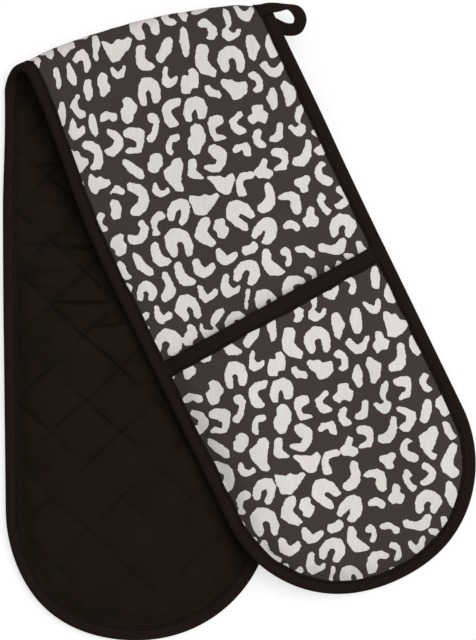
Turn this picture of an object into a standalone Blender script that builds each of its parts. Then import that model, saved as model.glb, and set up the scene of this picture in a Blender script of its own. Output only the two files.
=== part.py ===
"""A double oven glove lying folded: one long padded strip with a round hand pocket sewn on at each end.

Every piece is laid out on the flat strip first. There, across runs from the strip's left edge to its right
edge, and along runs from the rear tip, which is negative, over the fold at zero to the front tip. The
height over the strip's middle layer is positive on the printed side. place() then folds the strip over
its slanted fold line: the rear half lies on the surface with its lining up, and the front half lies on it
with its print up and droops off its right edge. The origin is on the surface, at the centre of the rear
half's round end.
"""

import math

import bmesh
import bpy
import numpy as np

# The strip, laid out flat
STRIP_LENGTH = 0.860
REAR_WIDTH = 0.187
FRONT_WIDTH = 0.183
FOLD_OFFCENTRE = 0.001
HALVES_ANGLE = math.radians(25.3)

# Clearance between pieces that touch
TOUCH_GAP = 0.0003

# Cloth and wadding
CLOTH = 0.0008
BODY_WADDING = 0.0042
BODY_WADDING_EDGE = 0.0012
POCKET_WADDING = 0.0025
POCKET_WADDING_EDGE = 0.0006

# Binding tape round the strip, and over the mouths of the pockets
TAPE = 0.0010
BINDING_FACE = 0.0100
MOUTH_BAND = 0.0120
TAPE_CORNER_SHARE = 0.35

# Hand pockets
POCKET_DEPTH = 0.216
HAND_SPACE = 0.0070
MOUTH_SWELL = 0.0030
PANEL_CLEARANCE = 0.0008
SHOULDER = 0.038
MOUTH_SHOULDER = 0.009
MOUTH_SKEW = math.radians(3.0)

# How the folded glove lies
CREST_BOW = 0.010
CREST_PEAK = 0.008
CREST_REACH = 0.090
DROOP_REACH = 0.105
DROOP_CLEAR = 0.015
DROOP_ONSET = 0.100

# Hanging loop
LOOP_TAPE_WIDTH = 0.0070
LOOP_TAPE_THICKNESS = 0.0012
LOOP_STRANDS_APART = 0.0160
LOOP_STRAIGHT = 0.0080
LOOP_PLACE = 0.0010

# Rings of points from the strip's edge inwards: how far up the shoulder each lies, how full the layers
# are there, and how much of the hand space is open there
SHOULDER_SHARES = (0.17, 0.52, 1.0)
BODY_FULL_SHARES = (0.0, 0.0, 0.75, 1.0, 1.0, 1.0)
POCKET_FULL_SHARES = (0.0, 0.0, 0.6, 1.0, 1.0, 1.0)
CROWN_SHARES = (0.0, 0.0, 0.2, 0.66, 0.95, 1.0)

# Rows of points across the strip: in the fold, between fold and mouth (place, slant and how far the rear
# half has risen to its pocket), and between mouth and round end (place and how far the swell has gone)
FOLD_ROW_SHARES = (0.26, 0.5, 0.75, 1.0)
REACH_SHARES = ((0.22, 0.75, 0.0), (0.44, 0.40, 0.0), (0.64, 0.15, 0.35), (0.84, 0.0, 0.85))
HAND_SHARES = ((0.5, 0.5),)
CAP_SIDES = 16
LOOP_SIDES = 10

BODY = 2 * (CLOTH + TOUCH_GAP) + BODY_WADDING
BODY_EDGE = 2 * (CLOTH + TOUCH_GAP) + BODY_WADDING_EDGE
POCKET = 2 * (CLOTH + TOUCH_GAP) + POCKET_WADDING
POCKET_EDGE = 2 * (CLOTH + TOUCH_GAP) + POCKET_WADDING_EDGE
TAPE_SEAT = TAPE + TOUCH_GAP
REAR_POCKET_HEIGHT = max(POCKET, POCKET_EDGE + 2 * TAPE_SEAT) + TOUCH_GAP + HAND_SPACE
BEND = (REAR_POCKET_HEIGHT + TOUCH_GAP + BODY) / 2
AXIS_HEIGHT = BEND + BODY / 2
FOLD_SLANT = HALVES_ANGLE / 2
QUARTER_BEND = BEND * math.pi / 2
FOLD_HALF_LENGTH = (REAR_WIDTH + FRONT_WIDTH) / 4 / math.cos(FOLD_SLANT)

LINING, WADDING, PRINT, BINDING = "lining", "wadding", "print", "binding"
COLOURS = {
    LINING: (0.013, 0.009, 0.006),
    WADDING: (0.80, 0.79, 0.75),
    PRINT: (0.30, 0.28, 0.27),
    BINDING: (0.016, 0.011, 0.009),
}


def smooth(share):
    """Eases a share from 0 to 1, and holds it there outside that range."""
    share = min(max(share, 0.0), 1.0)
    return share * share * (3 - 2 * share)


class Half:
    """One half of the strip, from the fold to its round end."""

    def __init__(self, name, side, width, mouth_skew):
        self.name = name
        self.side = side
        self.end_radius = width / 2
        self.tip = STRIP_LENGTH / 2 + side * FOLD_OFFCENTRE
        self.cap = self.tip - self.end_radius
        self.mouth = self.tip - POCKET_DEPTH
        self.mouth_slope = math.tan(mouth_skew)
        self.fold_end = QUARTER_BEND / math.cos(FOLD_SLANT)
        self.is_front = side > 0

    def half_width(self, distance):
        """Half the width, at a distance from the fold: both halves have the mean width at the fold."""
        mean = (REAR_WIDTH + FRONT_WIDTH) / 4
        return mean + (self.end_radius - mean) * smooth(distance / self.mouth)


REAR = Half("rear", -1, REAR_WIDTH, 0.0)
FRONT = Half("front", 1, FRONT_WIDTH, -MOUTH_SKEW)

# The rings' distances from the edge, for the strip's layers. A pocket's panels start at PANEL_INSET.
PANEL_INSET = BINDING_FACE + PANEL_CLEARANCE
RINGS = [TAPE_SEAT, BINDING_FACE + TOUCH_GAP] + [PANEL_INSET + SHOULDER * s for s in SHOULDER_SHARES]
PANEL_RINGS = [PANEL_INSET] + RINGS[2:]
DROOP_START = REAR_WIDTH / 2 - PANEL_INSET - SHOULDER / 2
DROOP = 2 * BEND - TOUCH_GAP


class Row:
    """A row of points across the strip, at a distance from the fold."""

    def __init__(self, distance, slope=0.0, risen=0.0, taped=0.0, swell=0.0):
        self.distance = distance
        self.slope = slope
        self.risen = risen
        self.taped = taped
        self.swell = swell


def fold_rows(half):
    """The rows in the bend, which run along the fold, and those from there to the pocket's mouth."""
    slant = math.tan(FOLD_SLANT)
    rows = [Row(TOUCH_GAP, slant)]
    rows += [Row(half.fold_end * share, slant) for share in FOLD_ROW_SHARES]
    stretch = half.mouth - half.fold_end
    for place_share, slant_share, risen_share in REACH_SHARES:
        rows.append(Row(half.fold_end + stretch * place_share, slant * slant_share, risen_share))
    return rows


def pocket_rows(half, start):
    """The rows from the pocket's mouth, or from start behind it, to the round end."""
    slope = half.mouth_slope
    band_end = half.mouth + MOUTH_BAND + TOUCH_GAP
    full = band_end + MOUTH_SHOULDER
    rows = [Row(half.mouth + start, slope, 1.0, 1.0, 1.0), Row(band_end, slope, 1.0, 1.0, 1.0)]
    rows.append(Row(full, slope, 1.0, 0.0, 1.0))
    for place_share, flat_share in HAND_SHARES:
        left = 1.0 - flat_share
        distance = full + (half.cap - full) * place_share
        slope_left = slope * (1.0 - place_share)
        rows.append(Row(distance, slope_left, 1.0, 0.0, left))
    return rows


class Spot:
    """A point on the flat strip, with what place() and the layers need to know of it."""

    def __init__(self, half, row, across, edge, past=0.0):
        self.half = half
        self.row = row
        self.across = across
        self.along = half.side * (row.distance + past) + across * row.slope
        self.edge = edge

    def share(self, shares):
        """Reads a table of shares at this spot's distance from the edge."""
        return float(np.interp(self.edge, RINGS + [self.half.end_radius], shares))


def body_thickness(spot):
    return BODY_EDGE + (BODY - BODY_EDGE) * spot.share(BODY_FULL_SHARES)


def pocket_thickness(spot):
    full = spot.share(POCKET_FULL_SHARES) * (1.0 - spot.row.taped)
    return POCKET_EDGE + (POCKET - POCKET_EDGE) * full


def hand_space(spot):
    swell = MOUTH_SWELL * spot.row.swell if spot.half.is_front else 0.0
    return (HAND_SPACE + swell) * spot.share(CROWN_SHARES)


def pocket_base(spot):
    """Height of the pocket's inner face over the strip's middle layer."""
    return body_thickness(spot) / 2 + TOUCH_GAP + TAPE_SEAT * spot.row.taped + hand_space(spot)


def rear_rise(spot):
    """How far the rear half is lifted off the surface by the pocket that lies under it."""
    under = pocket_base(spot) + pocket_thickness(spot) + TAPE_SEAT * spot.row.taped
    return spot.row.risen * (under - BODY / 2)


def rear_rise_before_mouth(spot):
    """The same, on the slope from the fold up to the mouth, whose profile it takes."""
    mouth_row = Row(spot.half.mouth, 0.0, 1.0, 1.0, 1.0)
    return spot.row.risen * rear_rise(Spot(spot.half, mouth_row, spot.across, spot.edge))


def place(spot, height):
    """Folds the flat strip, and returns the point in the room."""
    sine, cosine = math.sin(FOLD_SLANT), math.cos(FOLD_SLANT)
    past_fold = spot.along * cosine - spot.across * sine
    along_fold = spot.across * cosine + spot.along * sine
    beyond = max(abs(past_fold) - QUARTER_BEND, 0.0)
    angle = min(max(past_fold / BEND, -math.pi / 2), math.pi / 2)
    radius = BEND + height
    off_peak = (along_fold - CREST_PEAK) / FOLD_HALF_LENGTH
    bow = CREST_BOW * (0.5 - off_peak ** 2) * (1.0 - smooth(beyond / CREST_REACH))
    outward = radius * math.cos(angle) - beyond + bow
    z = AXIS_HEIGHT + radius * math.sin(angle)
    x = along_fold * cosine - (outward - QUARTER_BEND) * sine
    y = along_fold * sine + (outward - QUARTER_BEND) * cosine + REAR.cap
    if beyond > 0.0 and spot.half.is_front:
        near_fold = smooth((beyond - DROOP_CLEAR) / DROOP_ONSET)
        z -= DROOP * smooth((x - DROOP_START) / DROOP_REACH) * near_fold
    elif beyond > 0.0:
        before_mouth = spot.row.distance < spot.half.mouth
        z += rear_rise_before_mouth(spot) if before_mouth else rear_rise(spot)
    return (x, y, z)


def add_node(name, mesh_builder, finish):
    """Makes the object of one piece, faces out and shaded smooth."""
    bmesh.ops.recalc_face_normals(mesh_builder, faces=mesh_builder.faces)
    mesh = bpy.data.meshes.new(name)
    mesh_builder.to_mesh(mesh)
    mesh_builder.free()
    mesh.shade_smooth()
    mesh.set_sharp_from_angle(angle=math.radians(40))
    mesh.materials.append(bpy.data.materials[finish])
    node = bpy.data.objects.new(name, mesh)
    bpy.context.scene.collection.objects.link(node)
    return node


def stations(half, rows, rings):
    """The columns of spots round a sheet: down its right side, round the end and up its left side.

    Each column runs from the sheet's edge inwards. The last spot of a column lies on the centre line, or,
    round the end, at the centre of the end.
    """
    radius = half.end_radius
    columns = []
    for row in rows + [Row(half.cap, 0.0, 1.0)]:
        wide = half.half_width(row.distance)
        columns.append([Spot(half, row, wide - ring, ring) for ring in rings] + [Spot(half, row, 0.0, radius)])
    cap_row = columns[-1][0].row
    left_side = [
        [Spot(half, spot.row, -spot.across, spot.edge) for spot in column] for column in reversed(columns)
    ]
    for step in range(1, CAP_SIDES):
        turn = math.pi * step / CAP_SIDES
        column = []
        for ring in rings + [radius]:
            reach = radius - ring
            column.append(Spot(half, cap_row, reach * math.cos(turn), ring, reach * math.sin(turn)))
        columns.append(column)
    return columns + left_side


def add_sheet(name, half, rows, rings, low, high, finish):
    """A layer of cloth or wadding. low and high give the heights of its two faces at a spot."""
    build = bmesh.new()
    columns = stations(half, rows, rings)
    made = {}

    def vertex(spot, height):
        key = (round(spot.across, 9), round(spot.along, 9), height is high)
        if key not in made:
            made[key] = build.verts.new(place(spot, height(spot)))
        return made[key]

    def face(*corners):
        """Makes a face of three corners or more, and drops one that has shrunk to a line."""
        kept = list(dict.fromkeys(corners))
        if len(kept) > 2:
            build.faces.new(kept)

    def split(a, b, c, d):
        """Two triangles, cut along the same diagonal in every layer, so that the layers stay parallel."""
        face(a, b, c)
        face(a, c, d)

    for column, following in zip(columns, columns[1:]):
        for ring in range(len(column) - 1):
            corners = (column[ring], column[ring + 1], following[ring + 1], following[ring])
            split(*[vertex(spot, high) for spot in corners])
            split(*[vertex(spot, low) for spot in corners])
        rim = (column[0], following[0])
        face(vertex(rim[0], high), vertex(rim[1], high), vertex(rim[1], low), vertex(rim[0], low))
    end = columns[0] + columns[-1][-2::-1]
    for spot, other in zip(end, end[1:]):
        face(vertex(spot, high), vertex(other, high), vertex(other, low), vertex(spot, low))
    return add_node(name, build, finish)


def channel_profile(face_width, inside):
    """The tape's section where it is folded over an edge, as distances from the edge and heights."""
    half_height = inside / 2 + TAPE_SEAT
    corner = half_height * TAPE_CORNER_SHARE
    upper = [(face_width, half_height), (corner, half_height), (0.0, half_height - corner)]
    inner = [(face_width, half_height - TAPE), (TAPE, half_height - TAPE)]
    lower = [(distance, -height) for distance, height in reversed(upper)]
    inner_lower = [(distance, -height) for distance, height in inner]
    return upper + lower + inner_lower + inner[::-1]


def channel_ends():
    """The faces that close a channel at its ends, as the points of its section that each one takes."""
    return ((0, 1, 8, 9), (1, 2, 8), (2, 3, 7, 8), (3, 4, 7), (4, 5, 6, 7))


def add_run(name, sections, profile, end_faces, finish):
    """Joins a run of sections, each a ring of points along the profile, into one closed solid.

    Its faces are cut along the same diagonals as those of the layers that it holds. end_faces says which
    points of a section each face of its two ends takes.
    """
    build = bmesh.new()
    rings = [[build.verts.new(point) for point in section] for section in sections]
    count = len(profile)
    for ring, following in zip(rings, rings[1:]):
        for corner in range(count):
            after = (corner + 1) % count
            near, far = (corner, after) if profile[corner][0] < profile[after][0] else (after, corner)
            build.faces.new((ring[near], ring[far], following[far]))
            build.faces.new((ring[near], following[far], following[near]))
    for corners in end_faces:
        build.faces.new([rings[0][corner] for corner in reversed(corners)])
        build.faces.new([rings[-1][corner] for corner in corners])
    return add_node(name, build, finish)


def add_edge_binding(half, rows):
    """Tape folded over the strip's edge, down one side, round the end and up the other side."""
    sections = []
    profile = channel_profile(BINDING_FACE, BODY_EDGE)
    for column in stations(half, rows, [distance for distance, _ in profile]):
        points = []
        for spot, (_, height) in zip(column, profile):
            # The tape follows the layers' edge, where they are thinnest
            spot.edge = RINGS[0]
            points.append(place(spot, height))
        sections.append(points)
    return add_run(f"{half.name}_edge_binding", sections, profile, channel_ends(), BINDING)


def add_mouth_binding(half, rows):
    """Tape folded over the pocket's mouth, from one edge binding to the other."""
    mouth_row = rows[0]
    wide = half.half_width(mouth_row.distance)
    acrosses = [(wide - ring, ring) for ring in PANEL_RINGS] + [(0.0, half.end_radius)]
    acrosses += [(-across, ring) for across, ring in reversed(acrosses[:-1])]
    profile = channel_profile(MOUTH_BAND, POCKET_EDGE)
    sections = []
    for across, ring in acrosses:
        points = []
        for distance, height in profile:
            spot = Spot(half, mouth_row, across, ring, distance - TAPE_SEAT)
            middle = pocket_base(spot) + POCKET_EDGE / 2
            points.append(place(spot, middle + height))
        sections.append(points)
    return add_run(f"{half.name}_pocket_mouth_binding", sections, profile, channel_ends(), BINDING)


def add_body(half):
    """The half's own layers: quilted lining, wadding and print."""
    rows = fold_rows(half) + pocket_rows(half, 0.0)
    layers = (
        (LINING, lambda s: -body_thickness(s) / 2, lambda s: CLOTH - body_thickness(s) / 2),
        (
            WADDING,
            lambda s: CLOTH + TOUCH_GAP - body_thickness(s) / 2,
            lambda s: body_thickness(s) / 2 - CLOTH - TOUCH_GAP,
        ),
        (PRINT, lambda s: body_thickness(s) / 2 - CLOTH, lambda s: body_thickness(s) / 2),
    )
    for layer, low, high in layers:
        add_sheet(f"{half.name}_{layer}", half, rows, RINGS, low, high, layer)
    add_edge_binding(half, rows)


def add_pocket(half):
    """The hand pocket's panel: its lining faces the hand, and its print faces out."""
    rows = pocket_rows(half, TAPE_SEAT)

    def outer(spot):
        return pocket_base(spot) + pocket_thickness(spot)

    layers = (
        (LINING, pocket_base, lambda s: pocket_base(s) + CLOTH),
        (WADDING, lambda s: pocket_base(s) + CLOTH + TOUCH_GAP, lambda s: outer(s) - CLOTH - TOUCH_GAP),
        (PRINT, lambda s: outer(s) - CLOTH, outer),
    )
    for layer, low, high in layers:
        add_sheet(f"{half.name}_pocket_{layer}", half, rows, PANEL_RINGS, low, high, layer)
    add_mouth_binding(half, rows)


def loop_frame():
    """The middle of the loop's two ends on the front half's edge, and its directions out and along."""
    wide = FRONT.half_width(FRONT.fold_end)
    edge_starts = FRONT.fold_end + wide * math.tan(FOLD_SLANT)
    ends = []
    for side in (-1, 1):
        row = Row(edge_starts + LOOP_PLACE + side * LOOP_STRANDS_APART / 2)
        ends.append(np.array(place(Spot(FRONT, row, wide, 0.0), 0.0)))
    along = (ends[1] - ends[0]) * (1, 1, 0)
    along /= np.linalg.norm(along)
    middle = (ends[0] + ends[1]) / 2
    middle[2] = AXIS_HEIGHT + BEND
    return middle, np.array((-along[1], along[0], 0.0)), along


def add_hanging_loop():
    """A flat tape that leaves the front half's edge, turns round and comes back to it."""
    middle, out, along = loop_frame()
    turn_radius = LOOP_STRANDS_APART / 2
    corners = [
        (side * LOOP_TAPE_WIDTH / 2, height * LOOP_TAPE_THICKNESS / 2)
        for side, height in ((-1, -1), (1, -1), (1, 1), (-1, 1))
    ]
    turns = [math.pi / 2 - math.pi * step / LOOP_SIDES for step in range(LOOP_SIDES + 1)]
    starts = LOOP_TAPE_THICKNESS / 2 + TOUCH_GAP
    path = [(starts, turns[0])] + [(LOOP_STRAIGHT, turn) for turn in turns] + [(starts, turns[-1])]
    sections = []
    for reach, turn in path:
        section = []
        for wider, height in corners:
            radius = turn_radius + wider
            point = middle + out * (reach + radius * math.cos(turn)) + along * radius * math.sin(turn)
            section.append((point[0], point[1], point[2] + height))
        sections.append(section)
    return add_run("hanging_loop", sections, corners, (range(len(corners)),), BINDING)


def main():
    for leftover in list(bpy.data.objects):
        bpy.data.objects.remove(leftover)
    for finish, colour in COLOURS.items():
        material = bpy.data.materials.new(finish)
        material.use_nodes = True
        shader = material.node_tree.nodes["Principled BSDF"]
        shader.inputs["Base Color"].default_value = (*colour, 1.0)
        shader.inputs["Roughness"].default_value = 0.9
        shader.inputs["Metallic"].default_value = 0.0
    for half in (REAR, FRONT):
        add_body(half)
        add_pocket(half)
    add_hanging_loop()


main()
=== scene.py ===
# %% [markdown]
# # A double oven glove, folded over on a table
# The real glove is one long padded strip. A round hand pocket is sewn on at each end, and black tape binds
# the whole edge. Here it lies folded over near its middle, askew. The rear half shows the quilted black
# lining, and the front half lies across it and shows the spotted print.
#
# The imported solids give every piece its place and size. This lesson loads them as a fixed frame and sews
# the cloth on top: each plain solid is hidden, and a detailed piece stands for it.

import math

import bpy
import numpy as np
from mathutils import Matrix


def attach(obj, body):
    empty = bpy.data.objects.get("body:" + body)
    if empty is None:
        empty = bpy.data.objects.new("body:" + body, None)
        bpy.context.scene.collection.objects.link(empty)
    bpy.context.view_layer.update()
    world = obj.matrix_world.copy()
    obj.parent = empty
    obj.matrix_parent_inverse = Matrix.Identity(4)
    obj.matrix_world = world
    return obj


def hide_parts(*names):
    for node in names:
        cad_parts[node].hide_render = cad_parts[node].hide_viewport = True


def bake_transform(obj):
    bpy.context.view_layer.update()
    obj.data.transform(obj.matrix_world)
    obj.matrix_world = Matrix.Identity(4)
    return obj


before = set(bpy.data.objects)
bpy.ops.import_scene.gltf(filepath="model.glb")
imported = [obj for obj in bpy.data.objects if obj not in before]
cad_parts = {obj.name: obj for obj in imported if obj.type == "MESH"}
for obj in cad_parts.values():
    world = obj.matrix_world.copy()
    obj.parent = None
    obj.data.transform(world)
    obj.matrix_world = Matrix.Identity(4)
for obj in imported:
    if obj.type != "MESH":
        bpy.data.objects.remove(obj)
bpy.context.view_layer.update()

# %% [markdown]
# ## The strip, laid out flat
# A sewn thing is easiest to describe before it is folded. Across runs from the strip's left edge to its
# right edge. Along is negative on the rear half, zero at the fold and positive on the front half. The
# height is measured from the middle of the padding and is positive on the printed side. The sizes are the
# ones that the solids were made with.

# %% Sizes
# The strip, its fold and pockets, and the faces of the tape over the pockets' mouths and the edge.
STRIP_LENGTH = 0.860
REAR_WIDTH = 0.187
FRONT_WIDTH = 0.183
MEAN_HALF_WIDTH = (REAR_WIDTH + FRONT_WIDTH) / 4
FOLD_OFFCENTRE = 0.001
FOLD_SLANT = math.radians(25.3) / 2
POCKET_DEPTH = 0.216
MOUTH_SLOPE = -math.tan(math.radians(3.0))
MOUTH_BAND = 0.0120
BINDING_FACE = 0.0100
# Thicknesses of the cloth, the tape, the padded strip and a pocket's panel, and the gaps between them.
CLOTH = 0.0006
TAPE = 0.00105
BODY = 0.0064
BODY_EDGE = 0.0034
POCKET = 0.0047
POCKET_MOUTH = 0.0028
POCKET_SEAM = 0.0013
SEAM_GAP = 0.0001
LAYER_GAP = 0.0002
TAPE_SEAT = 0.0013
# The space for a hand: its height, how much the front mouth swells, and how far its lip lies down.
HAND_SPACE = 0.0070
MOUTH_SWELL = 0.0030
MOUTH_LIES = 0.40
MOUTH_LIES_REACH = 0.080
# The fold: the bend's radius and height, and the zone that bends when the glove unfolds.
BEND = 0.0097
AXIS_HEIGHT = BEND + BODY / 2
QUARTER_BEND = BEND * math.pi / 2
FOLD_HALF_LENGTH = MEAN_HALF_WIDTH / math.cos(FOLD_SLANT)
FOLD_ZONE = 0.040
# The quilting: the size of its diamonds, the place of one corner, and the distance between the lines.
QUILT_ACROSS = 0.0490
QUILT_ALONG = 0.0450
QUILT_PLACE = (-0.0602, -0.1926)
QUILT_DIAGONAL = math.hypot(QUILT_ACROSS, QUILT_ALONG)
QUILT_SPACING = QUILT_ACROSS * QUILT_ALONG / QUILT_DIAGONAL
# How the cloth lies: the bowed crest, its drawn-in left corner, and the droop of the front half.
CREST_BOW = 0.010
CREST_PEAK = 0.008
CREST_REACH = 0.090
CORNER_PULL = 0.013
CORNER_START = 0.015
CORNER_WIDTH = 0.078
FRONT_CORNER_REACH = 0.160
END_CUT_START = 0.45
DROOP_START = 0.0637
DROOP_REACH = 0.105
DROOP_CLEAR = 0.015
DROOP_ONSET = 0.100
DROOP = 0.0191


class Half:
    """One half of the strip, from the fold to its round end."""

    def __init__(self, name, side, width, slope):
        self.name, self.side, self.radius, self.slope = name, side, width / 2, slope
        self.tip = STRIP_LENGTH / 2 + side * FOLD_OFFCENTRE
        self.cap = self.tip - self.radius
        self.mouth = self.tip - POCKET_DEPTH


REAR = Half("rear", -1, REAR_WIDTH, 0.0)
FRONT = Half("front", 1, FRONT_WIDTH, MOUTH_SLOPE)
HALVES = (REAR, FRONT)
SIDES = (("left", -1), ("right", 1))
ORIGIN_ALONG = REAR.cap
print("pocket mouths in mm from the fold:", [round(1000 * half.mouth, 1) for half in HALVES])

# %% [markdown]
# ## How thick the glove is at each point
# The padding is full in the middle of the strip and pressed flat at its edge, where the tape holds it. The
# pocket's panel is sewn into the same edge and stands off the strip in between, where the hand goes. All of
# this depends only on the distance from the edge and from the pocket's mouth, so those are found first.

# %% Distances on the flat strip
FULL_WITHIN = 0.0128
CROWN_WITHIN = 0.0388
TAPED_CLEAR = 0.0003
TAPED_EASE = 0.009


def smooth(share):
    """Eases a share from 0 to 1 and holds it there outside that range."""
    share = np.clip(share, 0.0, 1.0)
    return share * share * (3 - 2 * share)


def half_width(part, reach):
    """Half the width of the strip at a distance from the fold. part is a Half, or Spots."""
    return MEAN_HALF_WIDTH + (part.radius - MEAN_HALF_WIDTH) * smooth(reach / part.mouth)


class Spots:
    """Points of the flat strip, with their distances from its edge, from the fold and past the mouth.

    full goes from 0 under the tape to 1 where the padding is full. taped is 1 under the tape of the
    pocket's mouth and 0 further in.
    """

    def __init__(self, across, along):
        self.across, self.along = np.broadcast_arrays(np.asarray(across, float), np.asarray(along, float))
        self.front = self.along >= 0.0
        for name in ("side", "radius", "cap", "mouth", "slope"):
            setattr(self, name, np.where(self.front, getattr(FRONT, name), getattr(REAR, name)))
        self.reach = self.side * self.along
        self.past_cap = self.reach - self.cap
        self.past_mouth = self.reach - self.side * self.across * self.slope - self.mouth
        round_end = self.radius - np.hypot(self.across, np.maximum(self.past_cap, 0.0))
        straight = half_width(self, self.reach) - np.abs(self.across)
        self.edge = np.where(self.past_cap > 0, round_end, straight)
        self.full = np.sin(np.clip((self.edge - BINDING_FACE) / FULL_WITHIN, 0.0, 1.0) * math.pi / 2)
        self.taped = 1.0 - smooth((self.past_mouth - MOUTH_BAND - TAPED_CLEAR) / TAPED_EASE)


def crown(edge):
    """How far the hand space is open, from 0 at the seam to 1 in the middle."""
    share = np.clip((edge - BINDING_FACE) / CROWN_WITHIN, 0.0, 1.0)
    return (smooth(share) + np.sin(share * math.pi / 2)) / 2


# %% Thicknesses
SWELL_STOP = 0.021
RISE_SQUARES = 0.84
RISE_START = 0.40
RISE_INSET = 0.0095
RISE_EASE = 0.004


def body_half(spots):
    """Half the strip's own thickness."""
    return (BODY_EDGE + (BODY - BODY_EDGE) * spots.full) / 2


def pocket_base(spots):
    """Height of the pocket's inner face, where the hand slides in."""
    swell = MOUTH_SWELL * smooth((spots.cap - spots.reach) / (spots.cap - spots.mouth - SWELL_STOP))
    lies = MOUTH_LIES + (1.0 - MOUTH_LIES) * smooth(spots.past_mouth / MOUTH_LIES_REACH)
    room = np.where(spots.front, (HAND_SPACE + swell) * lies, HAND_SPACE) * crown(spots.edge)
    return body_half(spots) + SEAM_GAP + spots.full * (LAYER_GAP + TAPE_SEAT * spots.taped) + room


def pocket_thickness(spots):
    """Thickness of the pocket's panel, which is pressed flat at its seam and at its mouth."""
    free = (POCKET - POCKET_MOUTH) * (1.0 - spots.taped)
    return POCKET_SEAM + spots.full * (POCKET_MOUTH - POCKET_SEAM + free)


def rear_rise(spots):
    """How far the rear half is lifted off the table by its pocket, which lies under it."""
    start = QUARTER_BEND / math.cos(FOLD_SLANT)
    ramp = spots.mouth - start
    distance = spots.reach
    for _ in range(4):
        squared = 1.0 - smooth((distance - start) / ramp / RISE_SQUARES)
        distance = spots.reach + spots.across * math.tan(FOLD_SLANT) * squared
    risen = smooth(((distance - start) / ramp - RISE_START) / (1.0 - RISE_START))
    inner = smooth((spots.edge - RISE_INSET) / RISE_EASE)
    cover = TAPE * (1.0 - inner) + TAPE_SEAT * spots.taped * inner
    return risen * (pocket_base(spots) + pocket_thickness(spots) + cover - BODY / 2)


MIDDLE = Spots(0.0, FRONT.cap)
print("height inside the front pocket in mm:", np.round(1000 * (pocket_base(MIDDLE) - body_half(MIDDLE)), 1))

# %% [markdown]
# ## Folding the strip
# One function takes a point of the flat strip and a height, and gives the point in the room. It rolls the
# strip round the fold line, bows the crest, draws its left corner in, lifts the rear half onto its pocket,
# and lets the front half droop off the rear half's right edge onto the table. Every piece of cloth, tape
# and thread goes through it, so that they all lie on each other as they were sewn.

# %% Fold
# The round ends are cut by hand: how much fuller, at what turn from the tip, and over how wide a turn.
FRONT_CUT = (-0.0021, 0.0, 0.42)
REAR_CUT = (0.0034, -0.72, 0.46)
END_CUT_EASE = 0.012


def cut_by_hand(spots):
    """The round ends are cut a little unevenly: the rear one fuller on its left, the front one blunter."""
    past_cap = np.maximum(spots.past_cap, 1e-6)
    turn = np.arctan2(spots.across, past_cap)
    out = np.hypot(spots.across, past_cap)
    front, rear = (size * np.exp(-(((turn - at) / wide) ** 2)) for size, at, wide in (FRONT_CUT, REAR_CUT))
    near_end = smooth((out / spots.radius - END_CUT_START) / (1 - END_CUT_START))
    moved = np.where(spots.front, front, rear) * near_end * smooth(spots.past_cap / END_CUT_EASE) / out
    return spots.across * (1.0 + moved), spots.along + spots.side * moved * np.maximum(spots.past_cap, 0.0)


def place(across, along, height):
    """Where a point of the flat strip lies once the glove is folded."""
    spots = Spots(across, along)
    cut_across, cut_along = cut_by_hand(spots)
    sine, cosine = math.sin(FOLD_SLANT), math.cos(FOLD_SLANT)
    past_fold = cut_along * cosine - cut_across * sine
    along_fold = cut_across * cosine + cut_along * sine
    beyond = np.maximum(np.abs(past_fold) - QUARTER_BEND, 0.0)
    pull = smooth((-along_fold - CORNER_START) / CORNER_WIDTH) * (1.0 - smooth(beyond / FRONT_CORNER_REACH))
    pull = pull * smooth((past_fold + QUARTER_BEND) / (2 * QUARTER_BEND))
    along_fold = along_fold + CORNER_PULL * pull
    angle = np.clip(past_fold / BEND, -math.pi / 2, math.pi / 2)
    radius = BEND + height
    off_peak = (along_fold - CREST_PEAK) / FOLD_HALF_LENGTH
    bow = CREST_BOW * (0.5 - off_peak**2) * (1.0 - smooth(beyond / CREST_REACH))
    outward = radius * np.cos(angle) - beyond + bow - QUARTER_BEND
    x = along_fold * cosine - outward * sine
    y = along_fold * sine + outward * cosine + ORIGIN_ALONG
    droop = DROOP * smooth((x - DROOP_START) / DROOP_REACH) * smooth((beyond - DROOP_CLEAR) / DROOP_ONSET)
    lift = np.where(spots.front, -droop, np.where(beyond > 0.0, rear_rise(spots), 0.0))
    return np.stack(np.broadcast_arrays(x, y, AXIS_HEIGHT + radius * np.sin(angle) + lift), axis=-1)


print("crest of the fold in mm:", np.round(1000 * place(0.0, 0.0, BODY / 2), 1))

# %% Grids on the flat strip


def rows_between(start, end, spacing):
    """Evenly spaced distances, both ends included."""
    return np.linspace(start, end, max(2, round((end - start) / spacing) + 1))


def columns_for(spacing):
    """An even number of columns across the strip."""
    return 2 * round(REAR_WIDTH / spacing / 2)


def flat_grid(half, distances, columns, inset, slope=0.0):
    """Rows of points across a half, from the first distance to its round end, and on round that end.

    The round end is a half disc made of four-sided faces only: a half square is pressed into it.
    """
    share = np.linspace(-1.0, 1.0, columns + 1)
    row = share * (half_width(half, distances)[:, None] - inset)
    fade = (half.cap - distances) / (half.cap - distances[0])
    steps = np.arange(1, columns // 2 + 1) / (columns // 2)
    out, over = np.meshgrid(steps, share, indexing="ij")
    beside = math.pi / 2 - math.pi / 4 * out / np.maximum(np.abs(over), 1e-9)
    turn = np.where(out >= np.abs(over), math.pi / 4 * over / out, np.sign(over) * beside)
    reach = (half.radius - inset) * np.maximum(out, np.abs(over))
    across = np.concatenate([row, reach * np.sin(turn)])
    straight = half.side * distances[:, None] + row * slope * fade[:, None]
    return across, np.concatenate([straight, half.side * (half.cap + reach * np.cos(turn))])


def fold_grid(step):
    """Straight rows over the zone of the fold, from the rear half to the front half."""
    rows = np.linspace(-FOLD_ZONE, FOLD_ZONE, 2 * round(FOLD_ZONE / step) + 1)
    along, share = np.meshgrid(rows, np.linspace(-1.0, 1.0, columns_for(step) + 1), indexing="ij")
    spots = Spots(share, along)
    return share * (half_width(spots, spots.reach) - TAPE_SEAT), along


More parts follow.
